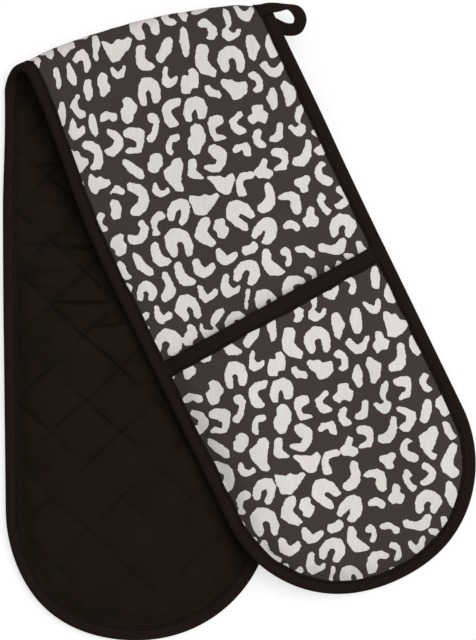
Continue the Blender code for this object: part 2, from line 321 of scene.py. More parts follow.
print("rows and columns of a 2 mm grid over the fold:", fold_grid(0.002)[0].shape)

# %% [markdown]
# ## Thin solids from two faces
# Cloth has a thickness. A grid of points for its outer face and one for its inner face are joined round
# the rim, which gives a closed thin solid of four-sided faces. Tape folded over an edge is the same thing
# with a curved section. The flat coordinates are kept as a UV map, so that weave and print can follow the
# cloth.

# %% Shells
# Faces that meet at a larger angle than this keep a sharp edge between them.
SHARP_DEGREES = 62


def add_object(name, data):
    """A new object in the scene."""
    made = bpy.data.objects.new(name, data)
    bpy.context.scene.collection.objects.link(made)
    return made


def build_mesh(name, points, quads, flat, material):
    """A mesh of four-sided faces with its flat coordinates, shaded smooth."""
    mesh = bpy.data.meshes.new(name)
    mesh.vertices.add(len(points))
    mesh.vertices.foreach_set("co", points.astype(np.float32).ravel())
    mesh.loops.add(quads.size)
    mesh.loops.foreach_set("vertex_index", quads.astype(np.int32).ravel())
    mesh.polygons.add(len(quads))
    mesh.polygons.foreach_set("loop_start", np.arange(0, quads.size, 4, dtype=np.int32))
    mesh.update(calc_edges=True)
    mesh.validate()
    layer = mesh.uv_layers.new(name="flat")
    corners = np.zeros(len(mesh.loops), np.int32)
    mesh.loops.foreach_get("vertex_index", corners)
    layer.data.foreach_set("uv", flat[corners].astype(np.float32).ravel())
    mesh.shade_smooth()
    mesh.set_sharp_from_angle(angle=math.radians(SHARP_DEGREES))
    mesh.materials.append(material)
    return add_object(name, mesh)


def add_shell(name, outer, inner, flat, material, values):
    """Joins matching grids of outer and inner points into one thin closed solid.

    values are further numbers for each point of the grid, which the materials read by name.
    """
    rows, columns = outer.shape[:2]
    count = rows * columns
    index = np.arange(count).reshape(rows, columns)
    face = np.stack([index[:-1, :-1], index[1:, :-1], index[1:, 1:], index[:-1, 1:]], -1).reshape(-1, 4)
    rim = np.concatenate([index[0, :-1], index[:-1, -1], index[-1, :0:-1], index[:0:-1, 0]])
    after = np.roll(rim, -1)
    walls = np.stack([rim, after, after + count, rim + count], -1)
    quads = np.concatenate([face, face[:, ::-1] + count, walls])
    down = outer[1:, :-1] - outer[:-1, :-1]
    right = outer[:-1, 1:] - outer[:-1, :-1]
    if (np.cross(down, right) * (outer - inner)[:-1, :-1]).sum() < 0:
        quads = quads[:, ::-1]
    points = np.concatenate([outer.reshape(-1, 3), inner.reshape(-1, 3)])
    piece = build_mesh(name, points, quads, np.tile(np.stack(flat, -1).reshape(-1, 2), (2, 1)), material)
    for label, numbers in values.items():
        attribute = piece.data.attributes.new(label, "FLOAT", "POINT")
        attribute.data.foreach_set("value", np.tile(np.ravel(numbers), 2).astype(np.float32))
    return piece


# %% Ups and downs
# How slow and how quick a wave may be against the mean, and what brings a sum of them back to about 1.
WAVE_PACES = (0.55, 1.7)
WAVE_TRIM = 1.3


def waves(across, along, length, seed, count=9):
    """Smooth seeded ups and downs over the flat cloth, mostly between -1 and 1."""
    draw = np.random.default_rng(seed)
    total = np.zeros(np.broadcast(across, along).shape)
    for _ in range(count):
        heading = draw.uniform(0, 2 * math.pi)
        pace = 2 * math.pi / length * draw.uniform(*WAVE_PACES)
        travel = across * math.cos(heading) + along * math.sin(heading)
        total = total + np.sin(pace * travel + draw.uniform(0, 2 * math.pi))
    return total / (WAVE_TRIM * math.sqrt(count / 2))


def ripple(run, length, shift=0.0):
    """Even ripples along a run, between -1 and 1."""
    return np.sin(run * 2 * math.pi / length + shift)


def run_along(points):
    """The distance from the start of a line to each of its points."""
    return np.concatenate([[0.0], np.cumsum(np.linalg.norm(np.diff(points, axis=0), axis=1))])


def unit(vectors):
    """Vectors brought to length 1."""
    return vectors / np.linalg.norm(vectors, axis=-1, keepdims=True)


print("spread of a sample of waves:", waves(np.linspace(0, 1, 200), 0.0, 0.1, 1).std().round(2))

# %% [markdown]
# ## The finishes
# There are four cloths and a thread. All of them are cotton, so they share one effect: the plain weave,
# threads that go over and under each other about twice in a millimetre. It is a node group that puts out a
# height and a shade, built once and placed in each material with its own thread count. Uneven dye with a
# little lint is a second group, and painted shade in the creases along the quilting's stitches is a third.

# %% Node helpers


def node(kind, inputs=(), tree=None, **settings):
    """A shader node with its settings. inputs give a value, or another node's output, for its sockets.

    Where no tree is given, the node goes into the tree that those outputs are in.
    """
    inputs = dict(inputs)
    links = {name: value for name, value in inputs.items() if isinstance(value, bpy.types.NodeSocket)}
    tree = tree or next(iter(links.values())).id_data
    made = tree.nodes.new("ShaderNode" + kind)
    for name, value in settings.items():
        setattr(made, name, value)
    for name, value in inputs.items():
        if name in links:
            link(value, made.inputs[name])
        else:
            made.inputs[name].default_value = value
    return made


def link(output, socket):
    output.id_data.links.new(output, socket)


def maths(operation, *values):
    """A sum on outputs and plain numbers, as one node. Gives that node's output."""
    return node("Math", enumerate(values), operation=operation).outputs[0]


def eased(value, start, end, low=0.0, high=1.0):
    """A value brought softly from low, where it is at start, to high, where it is at end."""
    inputs = {"Value": value, "From Min": start, "From Max": end, "To Min": low, "To Max": high}
    return node("MapRange", inputs, interpolation_type="SMOOTHSTEP").outputs[0]


def noise(flat, scale, detail=2.0, roughness=0.5, output="Fac"):
    inputs = {"Vector": flat, "Scale": scale, "Detail": detail, "Roughness": roughness}
    return node("TexNoise", inputs).outputs[output]


def dimmed(colour, factor):
    """A colour times a factor."""
    return node("VectorMath", {0: colour, "Scale": factor}, operation="SCALE").outputs[0]


def between_colours(factor, first, second):
    """A mix of two colours."""
    return node("Mix", {"Factor": factor, "A": first, "B": second}, data_type="RGBA").outputs["Result"]


def start_material(name, roughness, specular):
    """A material and its shader's sockets."""
    material = bpy.data.materials.new(name)
    material.use_nodes = True
    shader = material.node_tree.nodes["Principled BSDF"].inputs
    shader["Roughness"].default_value = roughness
    shader["Specular IOR Level"].default_value = specular
    return material, shader


# %% Shared effects


def new_group(name, inputs, outputs):
    """An empty node group and the ends of its sockets inside. Flat is a vector and Color a colour."""
    tree = bpy.data.node_groups.new(name, "ShaderNodeTree")
    for direction, labels in (("INPUT", inputs), ("OUTPUT", outputs)):
        for label in labels:
            kind = {"Flat": "Vector", "Color": "Color"}.get(label, "Float")
            tree.interface.new_socket(label, in_out=direction, socket_type="NodeSocket" + kind)
    return tree, tree.nodes.new("NodeGroupInput").outputs, tree.nodes.new("NodeGroupOutput").inputs


def weave_group():
    """Plain weave from flat coordinates: Height for a bump and Shade, a factor near 1."""
    tree, given, out = new_group(
        "plain_weave", ("Flat", "Threads per metre", "Shade depth"), ("Height", "Shade")
    )
    wander = noise(given["Flat"], scale=90.0, output="Color")
    drift = {0: wander, 1: (THREAD_DRIFT, THREAD_DRIFT, 0.0), 2: given["Flat"]}
    drifted = node("VectorMath", drift, operation="MULTIPLY_ADD").outputs[0]
    parts = node("SeparateXYZ", {0: dimmed(drifted, given["Threads per metre"])}).outputs
    rows, columns = (maths("SINE", maths("MULTIPLY", parts[axis], math.pi)) for axis in "XY")
    over = maths("MULTIPLY", rows, columns)
    link(maths("MULTIPLY_ADD", over, 0.5, 0.5), out["Height"])
    link(maths("MULTIPLY_ADD", over, given["Shade depth"], 1.0), out["Shade"])
    return tree


def dye_group():
    """Uneven dye and lint on cloth: takes a colour and puts out the dyed colour."""
    tree, given, out = new_group("uneven_dye", ("Flat", "Color", "Patchiness", "Lint"), ("Color",))
    cloud = maths("SUBTRACT", noise(given["Flat"], scale=38.0, detail=4.0, roughness=0.6), 0.5)
    dyed = dimmed(given["Color"], maths("MULTIPLY_ADD", cloud, given["Patchiness"], 1.0))
    specks = eased(noise(given["Flat"], scale=900.0, detail=1.0), start=0.68, end=0.80)
    lint = maths("MULTIPLY", specks, given["Lint"])
    link(node("VectorMath", {0: dyed, 1: lint}, operation="ADD").outputs[0], out["Color"])
    return tree


def crease_group():
    """Painted shade in the creases of quilted cloth. Rising and Falling are places on the two sets of
    quilting lines, where each whole number is a line. The painted shade is up to Pull on a line, with a faint
    painted shade beside it, or up to Drag."""
    tree, given, out = new_group("quilt_creases", ("Flat", "Rising", "Falling", "Drag", "Pull"), ("Painted shade",))
    deepest = given["Drag"]
    for label, scale in (("Rising", 24.0), ("Falling", 20.0)):
        off = maths("SUBTRACT", given[label], maths("ROUND", given[label]))
        off = maths("MULTIPLY", maths("ABSOLUTE", off), QUILT_SPACING)
        uneven = noise(given["Flat"], scale, detail=3.0)
        line = eased(off, start=0.0002, end=0.0022, low=1.0, high=0.0)
        line = maths("MULTIPLY", line, eased(uneven, start=0.40, end=0.62, low=0.05))
        beside = eased(off, start=0.0006, end=0.0066, low=0.30, high=0.0)
        beside = maths("MULTIPLY", beside, eased(uneven, start=0.30, end=0.70))
        either = maths("MULTIPLY", maths("MAXIMUM", line, beside), given["Pull"])
        deepest = maths("MAXIMUM", deepest, either)
    link(deepest, out["Painted shade"])
    return tree


THREAD_DRIFT = 0.0006
WEAVE, DYE, PAINTED_CREASE_SHADE = weave_group(), dye_group(), crease_group()
print("effects:", WEAVE.name, DYE.name, PAINTED_CREASE_SHADE.name)

# %% Cloth materials
# How much the painted shade in creases darkens a cloth's colour at its strongest.
CREASE_SHADE = 0.62
RELIEF_HEIGHT = 0.0002


def linear(red, green, blue):
    """A colour as it is written for screens, 0 to 255, turned into light, and its alpha."""
    shares = (c / 255 for c in (red, green, blue))
    return (*(c / 12.92 if c <= 0.04 else ((c + 0.055) / 1.055) ** 2.4 for c in shares), 1.0)


def stored(flat, name):
    """A number that the mesh stores for each point, beside its flat coordinates."""
    return node("Attribute", tree=flat.id_data, attribute_name=name).outputs["Fac"]


def quilt_creases(flat):
    labels = ("Rising", "Falling", "Drag", "Pull")
    inputs = {"Flat": flat} | {label: stored(flat, "quilt_" + label.lower()) for label in labels}
    return node("Group", inputs, node_tree=PAINTED_CREASE_SHADE).outputs["Painted shade"]


# Painted shade along the tape's stitches and at its inner edge, as stored with the tape.
def seam_crease(flat):
    return stored(flat, "seam")


def start_cloth(name, roughness, specular):
    """A material, its shader's sockets and the cloth's flat coordinates."""
    material, shader = start_material(name, roughness, specular)
    return material, shader, node("UVMap", tree=material.node_tree, uv_map="flat").outputs[0]


def finish_cloth(shader, flat, colour, threads, shade_depth, bump, patchiness, lint, crease=None):
    """Adds uneven dye, painted shade in creases and the weave to a colour, and the weave's bump to the
    shader.
    """
    dye = {"Flat": flat, "Color": colour, "Patchiness": patchiness, "Lint": lint}
    weave = {"Flat": flat, "Threads per metre": threads, "Shade depth": shade_depth}
    weave = node("Group", weave, node_tree=WEAVE).outputs
    woven = dimmed(node("Group", dye, node_tree=DYE).outputs["Color"], weave["Shade"])
    # Painted shade in the creases darkens the colour, for the cloths that have it.
    if crease:
        woven = dimmed(woven, maths("MULTIPLY_ADD", crease(flat), -CREASE_SHADE, 1.0))
    height = maths("ADD", weave["Height"], noise(flat, scale=260.0, detail=5.0))
    relief = node("Bump", {"Strength": bump, "Distance": RELIEF_HEIGHT, "Height": height})
    link(woven, shader["Base Color"])
    link(relief.outputs["Normal"], shader["Normal"])


def plain_cloth(name, colour, threads, roughness=0.9, specular=0.05, **finish):
    material, shader, flat = start_cloth(name, roughness, specular)
    finish_cloth(shader, flat, colour, threads, **finish)
    return material


LINING_CLOTH = plain_cloth("quilted_lining", linear(30, 22, 16), 1900.0, crease=quilt_creases,
                           shade_depth=0.16, bump=0.35, patchiness=0.70, lint=0.004)
BINDING_CLOTH = plain_cloth("binding_tape", linear(31, 23, 20), 1500.0, crease=seam_crease,
                            shade_depth=0.20, bump=0.5, patchiness=0.30, lint=0.005)
THREAD = plain_cloth("sewing_thread", linear(22, 17, 15), 2600.0, roughness=0.6,
                     shade_depth=0.2, bump=0.3, patchiness=0.2, lint=0.0)
WADDING_FELT = plain_cloth("wadding_felt", linear(232, 230, 224), 700.0,
                           shade_depth=0.05, bump=0.8, patchiness=0.12, lint=0.0)
print("materials:", [m.name for m in (LINING_CLOTH, BINDING_CLOTH, THREAD, WADDING_FELT)])

# %% [markdown]
# ## The spotted print
# The outside is printed with animal spots: off-white boots, arches, hearts, leaves and blobs on charcoal.
# Such spots can't be had from a plain noise texture, because they have kinds. So each kind is written down
# as a rough outline, and each spot is one of them with its own size, slant and uneven cut. The spots are
# laid on a tile of cloth, pushed apart until they just clear each other, and repeated, as a printing roller
# repeats them. Each point of the cloth then stores how far inside a spot it lies, and the material draws
# the edge from that.

# %% Kinds of spot
OUTLINE_UNIT = 0.0007
# Each kind has a weight, which says how common it is, and its corners, right and up, in outline units.
KINDS = {
    "boot": (11, ((-8, 10), (-6, 13), (-2, 13), (0, 9), (0, 1), (3, -3), (8, -6), (10, -10), (7, -13),
        (-3, -12), (-8, -7), (-9, 0))),
    "arch": (10, ((-11, -10), (-12, -2), (-9, 7), (-3, 12), (5, 12), (11, 6), (12, -2), (9, -9), (6, -12),
        (2, -11), (1, -7), (2, -2), (0, 1), (-3, 0), (-4, -4), (-4, -9), (-6, -12), (-9, -12))),
    "heart": (9, ((-10, 7), (-8, 10), (-5, 9), (-3, 3), (0, -1), (3, 1), (7, 5), (10, 3), (10, -1),
        (5, -6), (0, -9), (-5, -8), (-9, -3))),
    "leaf": (12, ((-6, 10), (-3, 12), (0, 11), (3, 6), (5, -1), (7, -8), (5, -12), (1, -12), (-2, -8),
        (-6, -1))),
    "pill": (4, ((-3, 11), (0, 12), (3, 11), (4, 4), (3, -3), (4, -10), (1, -12), (-2, -11), (-4, -6),
        (-3, 2))),
    "bracket": (8, ((-7, 12), (-4, 13), (4, 10), (9, 4), (9, -3), (5, -10), (0, -14), (-6, -13), (-8, -9),
        (-4, -6), (0, -3), (1, 1), (-2, 4), (-7, 7))),
    "blob": (7, ((-8, 4), (-5, 10), (1, 12), (5, 9), (4, 4), (8, 1), (8, -6), (3, -12), (-3, -10),
        (-4, -5), (-8, -2))),
    "oval": (3, ((-9, 2), (-6, 5), (0, 4), (5, 6), (9, 2), (7, -3), (2, -6), (-3, -4), (-8, -4))),
    "kidney": (11, ((-7, 7), (-4, 11), (0, 11), (5, 7), (7, 1), (6, -6), (3, -11), (-2, -11), (-4, -8),
        (0, -3), (0, 2), (-5, 4))),
    "wing": (4, ((-13, 6), (-10, 9), (-5, 7), (-1, 9), (4, 6), (12, 9), (13, 5), (11, -3), (7, -9),
        (0, -10), (-4, -5), (-9, 0))),
    "flask": (3, ((-10, 5), (-3, 11), (1, 16), (6, 16), (9, 10), (8, -1), (6, -7), (9, -12), (8, -16),
        (3, -16), (-3, -9), (-8, -4))),
    "hook": (6, ((-9, 11), (-4, 13), (5, 12), (9, 7), (8, -2), (4, -12), (-2, -13), (-10, -12), (-10, -9),
        (-5, -6), (0, -5), (1, -1), (-2, 2), (-8, 4), (-10, 7))),
    "boomerang": (7, ((-12, -6), (-11, 1), (-6, 8), (1, 10), (8, 8), (12, 3), (12, -1), (8, -2), (3, 1),
        (0, 0), (-1, -4), (-4, -9), (-8, -10), (-11, -9))),
    "eyebrow": (3, ((-9, -3), (-8, 1), (-3, 5), (3, 5), (8, 2), (9, -2), (6, -4), (1, -2), (-4, -3),
        (-7, -5))),
    "clover": (3, ((-9, -3), (-8, 1), (-4, 3), (-3, 8), (1, 10), (5, 8), (5, 2), (9, -1), (9, -5),
        (5, -9), (0, -7), (-5, -8))),
    "snake": (3, ((10, 16), (12, 13), (9, 8), (5, 4), (3, -2), (8, -6), (6, -11), (-1, -16), (-6, -13),
        (-11, -5), (-11, 1), (-7, 0), (-5, -5), (-1, -5), (1, -3), (-1, 2), (0, 8), (4, 14))),
}
print("kinds of spot:", len(KINDS))

# %% Cutting a spot
SPOT_SIZE = 1.00
SIZE_SPREAD = 0.09
STRETCH_SPREAD = 0.08
MIRRORED_OR_NOT = (0.3, 0.7)
ON_ITS_SIDE = 0.05
CUT = 0.00050
LEAN = 0.27
CELL = 0.0004
FIELD_CELLS = 38
FIELD_LIMIT = 0.0014
ROUNDING = 0.00044
SMALLEST_DISC = 0.0009
MOST_DISCS = 8
DISC_APART = 1.25
FIELD_AXIS = CELL * np.arange(-FIELD_CELLS, FIELD_CELLS + 1)
FIELD_X, FIELD_Y = np.meshgrid(FIELD_AXIS, FIELD_AXIS, indexing="ij")
PRINT_SLANT = 2 * FOLD_SLANT
# The print stands upright in the room, so on the flat strip it is slanted, and mirrored by the fold.
SLANT_SINE, SLANT_COSINE = math.sin(PRINT_SLANT), math.cos(PRINT_SLANT)
UPRIGHT = np.array([[SLANT_COSINE, SLANT_SINE], [SLANT_SINE, -SLANT_COSINE]])


def turned(points, angle):
    sine, cosine = math.sin(angle), math.cos(angle)
    return points @ np.array([[cosine, sine], [-sine, cosine]])


def draw_outline(draw):
    """One spot of a random kind, as corners on the flat cloth, in metres from its middle."""
    weights = np.array([weight for weight, _ in KINDS.values()], float)
    _, corners = list(KINDS.values())[draw.choice(len(KINDS), p=weights / weights.sum())]
    corners = np.array(corners, float) * OUTLINE_UNIT * SPOT_SIZE * draw.lognormal(0.0, SIZE_SPREAD)
    stretch = draw.normal(1.0, STRETCH_SPREAD, 2)
    corners = corners * stretch * [draw.choice((-1.0, 1.0), p=MIRRORED_OR_NOT), 1.0]
    corners = corners + draw.normal(0.0, CUT, corners.shape)
    on_its_side = draw.uniform() < ON_ITS_SIDE
    return turned(corners, draw.normal(0.0, LEAN) + (math.pi / 2 if on_its_side else 0.0)) @ UPRIGHT


def depth_in(corners):
    """How deep each point of the small square field lies inside an outline. It is negative outside."""
    away, inside = np.full(FIELD_X.shape, 1.0), np.zeros(FIELD_X.shape, bool)
    for (x0, y0), (x1, y1) in zip(corners, np.roll(corners, -1, axis=0)):
        right, up, width, height = FIELD_X - x0, FIELD_Y - y0, x1 - x0, y1 - y0
        share = np.clip((right * width + up * height) / (width**2 + height**2), 0.0, 1.0)
        away = np.minimum(away, np.hypot(right - share * width, up - share * height))
        inside ^= ((y0 > FIELD_Y) != (y1 > FIELD_Y)) & (FIELD_X < x0 + width * up / height)
    return np.where(inside, away, -away)


def rounded(depth):
    """A field of limited depth, softened so that the outline's corners come out round."""
    field = np.clip(depth, -FIELD_LIMIT, FIELD_LIMIT)
    taps = np.arange(-4, 5)
    weights = np.exp(-((taps * CELL / ROUNDING) ** 2) / 2)
    weights /= weights.sum()
    for axis in (0, 1):
        field = sum(weight * np.roll(field, tap, axis) for weight, tap in zip(weights, taps))
    return field


def discs_in(depth):
    """A few discs that fill an outline, for keeping the spots apart: two places and a radius each."""
    left = depth.copy()
    discs = []
    while len(discs) < MOST_DISCS and left.max() > SMALLEST_DISC:
        i, j = np.unravel_index(left.argmax(), left.shape)
        discs.append((FIELD_AXIS[i], FIELD_AXIS[j], depth[i, j]))
        left[np.hypot(FIELD_X - FIELD_AXIS[i], FIELD_Y - FIELD_AXIS[j]) < DISC_APART * depth[i, j]] = 0.0
    return np.array(discs)


# %% Laying the spots
TILE = np.array([0.186, 0.282])
SPOT_GAP = 0.0018
SPREAD_GAP = 0.0048
STRAY = 0.0021
LEFT_OUT = 0.015
EDGE_ROUGHNESS = 0.20
EDGE_WAVE = 0.0036
# The spots are first spread out gently, and then pushed until they just clear each other.
PUSHES = [(SPREAD_GAP, 0.25)] * 40 + [(SPOT_GAP, 0.5)] * 40


def wrapped(offset):
    """The shortest offset between two points of the repeating tile."""
    return offset - TILE * np.round(offset / TILE)


def lay_spots(seed, columns, rows):
    """Spots laid in staggered rows on the tile and pushed apart: centre, field and tint of each."""
    draw = np.random.default_rng(seed)
    row, column = np.divmod(np.arange(rows * columns), columns)
    starts = np.stack([(column + 0.5 * (row % 2) + 0.25) / columns, (row + 0.5) / rows], -1) * TILE
    depths = [depth_in(draw_outline(draw)) for _ in starts]
    discs = [discs_in(depth) for depth in depths]
    centres = starts + draw.normal(0.0, STRAY, starts.shape)
    owner = np.repeat(np.arange(len(discs)), [len(found) for found in discs])
    discs = np.concatenate(discs)
    radius = discs[:, 2]
    unlike = owner[:, None] != owner[None, :]
    for gap, force in PUSHES:
        points = centres[owner] + discs[:, :2]
        offset = wrapped(points[:, None] - points[None, :])
        distance = np.hypot(offset[..., 0], offset[..., 1])
        lack = np.maximum(np.where(unlike, radius[:, None] + radius[None, :] + gap - distance, 0.0), 0.0)
        push = (offset / np.maximum(distance, 1e-6)[..., None] * lack[..., None]).sum(1)
        moved = np.zeros_like(centres)
        np.add.at(moved, owner, push)
        touching = np.bincount(owner, (lack > 0).sum(1), len(centres))
        centres = centres + force * moved / np.maximum(touching, 1.0)[:, None]
    tints = draw.uniform(-1.0, 1.0, len(centres))
    kept = draw.uniform(size=len(centres)) > LEFT_OUT
    return [(centres[i], rounded(depths[i]), tints[i]) for i in np.nonzero(kept)[0]]


def spot_depth(across, along, spots):
    """How far inside a spot each point lies, in millimetres, and the tint of the nearest spot."""
    points = np.stack([np.ravel(across), np.ravel(along)], -1)
    depth = np.full(len(points), -FIELD_LIMIT)
    tint = np.zeros(len(points))
    for centre, field, spot_tint in spots:
        cell = wrapped(points - centre) / CELL + FIELD_CELLS
        near = np.nonzero(((cell > 0) & (cell < 2 * FIELD_CELLS)).all(1))[0]
        low = cell[near].astype(int)
        i, j = low.T
        a, b = (cell[near] - low).T
        found = (1 - a) * ((1 - b) * field[i, j] + b * field[i, j + 1])
        found += a * ((1 - b) * field[i + 1, j] + b * field[i + 1, j + 1])
        better = found > depth[near]
        depth[near[better]] = found[better]
        tint[near[better]] = spot_tint
    rough = EDGE_ROUGHNESS * waves(*points.T, EDGE_WAVE, seed=5, count=14)
    return (1000 * depth + rough).reshape(across.shape), tint.reshape(across.shape)


SPOTS = lay_spots(seed=11, columns=12, rows=14)
SAMPLE = np.meshgrid(np.linspace(0, TILE[0], 240), np.linspace(0, TILE[1], 360))
COVERAGE = (spot_depth(*SAMPLE, SPOTS)[0] > 0).mean()
print("spots on a tile:", len(SPOTS), "share of the cloth that is white:", round(float(COVERAGE), 3))

# %% Print material
BRUSH_STRETCH = 6.0
EDGE_FRAY = 0.30


def print_cloth_material():
    """Charcoal cloth whose off-white spots come from the stored depths."""
    material, shader, flat = start_cloth("spotted_print", 0.85, 0.12)
    edge = maths("MULTIPLY_ADD", noise(flat, scale=1300.0), EDGE_FRAY, stored(flat, "spot_depth"))
    mask = eased(edge, start=0.05, end=0.27)
    pink_or_green = maths("MULTIPLY_ADD", stored(flat, "spot_tint"), 0.5, 0.5)
    white = between_colours(pink_or_green, linear(224, 214, 213), linear(217, 215, 210))
    brush = {"Vector": flat, "Rotation": (0.0, 0.0, PRINT_SLANT), "Scale": (1.0, BRUSH_STRETCH, 1.0)}
    along_brush = node("Mapping", brush, vector_type="TEXTURE").outputs[0]
    streaks = eased(noise(along_brush, scale=620.0, detail=3.0), start=0.3, end=0.7, low=0.955, high=1.03)
    ground = between_colours(noise(flat, scale=21.0, detail=3.0), linear(66, 56, 53), linear(60, 55, 53))
    colour = between_colours(mask, ground, dimmed(white, streaks))
    finish_cloth(shader, flat, colour, 1900.0, shade_depth=0.05, bump=0.3, patchiness=0.12, lint=0.0)
    return material


SPOTTED_PRINT = print_cloth_material()
print("print material nodes:", len(SPOTTED_PRINT.node_tree.nodes))

# %% [markdown]
# ## Quilting
# The lining is stitched through the wadding in two sets of slanting lines, which leaves puffed diamonds.
# Each line of stitches draws the cloth in, and the cloth next to it puckers. So the lining is the strip's
# face, sunk along the lines, with small ripples beside them. It only ever goes in from the solid's face,
# so that the folded halves don't cut into each other. The print isn't quilted. It only puckers a little
# where the tape is sewn on.

# %% Quilted relief
QUILT_DEPTH = 0.0027
QUILT_CREASE = 0.0016
QUILT_PUFF = 0.72
QUILT_TUCK = 0.28
QUILT_WANDER = 0.022
WANDER_LENGTH = 0.090
PUCKER = 0.00055
PUCKER_PITCH = 0.0078
PUCKER_START = 0.0015
PUCKER_REACH = 0.0045
DRAWN_LIMIT = 0.0034
WADDING_CLEAR = 0.0012
DRAG_SAG = 0.0012
DRAG_ARC = 1.4
TAPE_PITCH = 0.0115
TAPE_START = 0.0030
TAPE_REACH = 0.0090
# How dark the painted shade in the creases is: in the drag folds, along the quilting at the rear end, and how
# far this eases.
DRAG_PAINTED_SHADE = 0.85
DRAG_SHADE_FULL_AT = 0.0014
END_PULL = 0.28
PULL_RISE = 0.72
PULL_FROM = 0.36
PULL_EASE = 0.16
PULL_PAST_FOLD = 0.1
# The drag folds near the fold's left end: middle across and along, half length, depth, width and tilt.
DRAG_FOLDS = (
    (-0.0620, -0.0933, 0.0110, 0.0013, 0.0014, 0.05),
    (-0.0700, -0.1493, 0.0150, 0.0012, 0.0012, 0.02),
    (-0.0380, -0.1521, 0.0165, 0.0016, 0.0016, -0.03),
    (-0.0600, -0.1682, 0.0180, 0.0012, 0.0020, 0.06),
    (-0.0390, -0.1906, 0.0250, 0.0017, 0.0017, -0.02),
    (-0.0660, -0.1800, 0.0120, 0.0009, 0.0013, -0.08),
    (-0.0180, -0.2067, 0.0140, 0.0014, 0.0015, 0.10),
    (-0.0560, -0.1200, 0.0120, 0.0010, 0.0018, -0.12),
    (0.0020, -0.2480, 0.0140, 0.0010, 0.0017, 0.14),
)


def quilt_steps(across, along, sign):
    """Position on one set of quilting lines, where each whole number is a line."""
    straight = (across - QUILT_PLACE[0]) / QUILT_ACROSS + sign * (along - QUILT_PLACE[1]) / QUILT_ALONG
    return straight + wander(across, along, sign)


def wander(across, along, sign):
    """How far one set of quilting lines strays from straight, in steps."""
    return QUILT_WANDER * waves(across, along, WANDER_LENGTH, seed=47 + sign)


def quilting(across, along):
    """How far the stitches draw the lining in, in metres."""
    flatness, pucker = 1.0, 0.0
    for sign in (1, -1):
        steps = quilt_steps(across, along, sign)
        off = np.abs(steps - np.round(steps)) * QUILT_SPACING
        puffed = 1.0 - (1.0 - np.minimum(2 * off / QUILT_SPACING, 1.0)) ** 2
        flatness = flatness * (QUILT_PUFF * puffed + QUILT_TUCK * (1.0 - np.exp(-off / QUILT_CREASE)))
        run = (across * QUILT_ACROSS - sign * along * QUILT_ALONG) / QUILT_DIAGONAL
        puckers = 1.0 + ripple(run, PUCKER_PITCH, 3 * waves(across, along, 0.03, seed=21 + sign))
        pucker = pucker + puckers / 2 * np.exp(-off / PUCKER_REACH) * smooth(off / PUCKER_START)
    return QUILT_DEPTH * (1.0 - flatness) + PUCKER * pucker


def drag_folds(across, along):
    """Depth of the short level folds where the slant of the upper half drags at the lining."""
    depth = 0.0
    for middle_across, middle_along, half_length, deep, wide, tilt in DRAG_FOLDS:
        right = across - middle_across
        up = along - middle_along + DRAG_SAG * np.cos(right / half_length * DRAG_ARC)
        run = (right * math.cos(tilt) + up * math.sin(tilt)) / half_length
        off = (up * math.cos(tilt) - right * math.sin(tilt)) / wide
        depth = depth + deep * np.exp(-off * off) * (1.0 - np.minimum(np.abs(run), 1.0) ** 4)
    return depth


def quilt_values(across, along):
    """What the quilted cloth's material needs to know at each point."""
    past_fold = np.where(along < 0, 1.0, smooth(1.0 - along / PULL_PAST_FOLD))
    return {
        "quilt_rising": quilt_steps(across, along, 1),
        "quilt_falling": quilt_steps(across, along, -1),
        # Painted shade in the drag folds, full where they are deepest.
        "quilt_drag": DRAG_PAINTED_SHADE * np.clip(drag_folds(across, along) / DRAG_SHADE_FULL_AT, 0.0, 1.0) ** 2,
        # How strong the painted shade along the quilting lines is: fainter at the rear end and past the fold.
        "quilt_pull": END_PULL + PULL_RISE * smooth((along + PULL_FROM) / PULL_EASE) * past_fold,
    }


def tape_pull(spots, seed):
    """Small puckers where the edge tape pulls at the cloth, running in from the edge."""
    inwards = spots.edge - BINDING_FACE
    turn = np.arctan2(spots.across, np.maximum(spots.past_cap, 0.0) + 1e-9)
    run = np.where(spots.past_cap > 0, turn * spots.radius, spots.reach)
    puckers = ripple(run, TAPE_PITCH, 2.5 * waves(spots.across, spots.along, 0.05, seed))
    return smooth(inwards / TAPE_START) * np.exp(-np.maximum(inwards, 0.0) / TAPE_REACH) * puckers


print("quilting lines are", round(1000 * QUILT_SPACING, 1), "mm apart")

# %% [markdown]
# ## The layers of the strip
# Lining, wadding and print each come in three pieces: the rear half, the front half, and the zone of the
# fold between them. When the glove unfolds, the first two ride on their halves. The print has the finest
# grid, because it carries the outlines of the spots.

# %% Layer heights
LINING_STEP = 0.0017
PRINT_STEP = 0.00118
HIDDEN_STEP = 0.0024
WADDING_STEP = 0.0036
COVERED = 0.010
# Half heights of the ripples in the printed cloth: where it lies free, at the tape and before the mouth.
PRINT_RIPPLES = (0.00022, 0.00026, 0.00025)
PRINT_WAVE = 0.034
MOUTH_PITCH = 0.013
MOUTH_REACH = 0.006
TAPE_PUCKER = 0.0003
WADDING_TOP = 0.0004
WADDING_BOTTOM = 0.0007


def drawn_in(spots):
    """How far stitches, drag folds and tape draw the lining in, limited so that it stays in the padding."""
    total = quilting(spots.across, spots.along) + drag_folds(spots.across, spots.along)
    total = total + TAPE_PUCKER * (1.0 + tape_pull(spots, 31))
    return DRAWN_LIMIT * np.tanh(total / DRAWN_LIMIT) * spots.full


def lining_faces(spots):
    """Outer and inner heights of the strip's quilted lining, which is the lower side in height."""
    outer = -(body_half(spots) - drawn_in(spots))
    return outer, outer + CLOTH


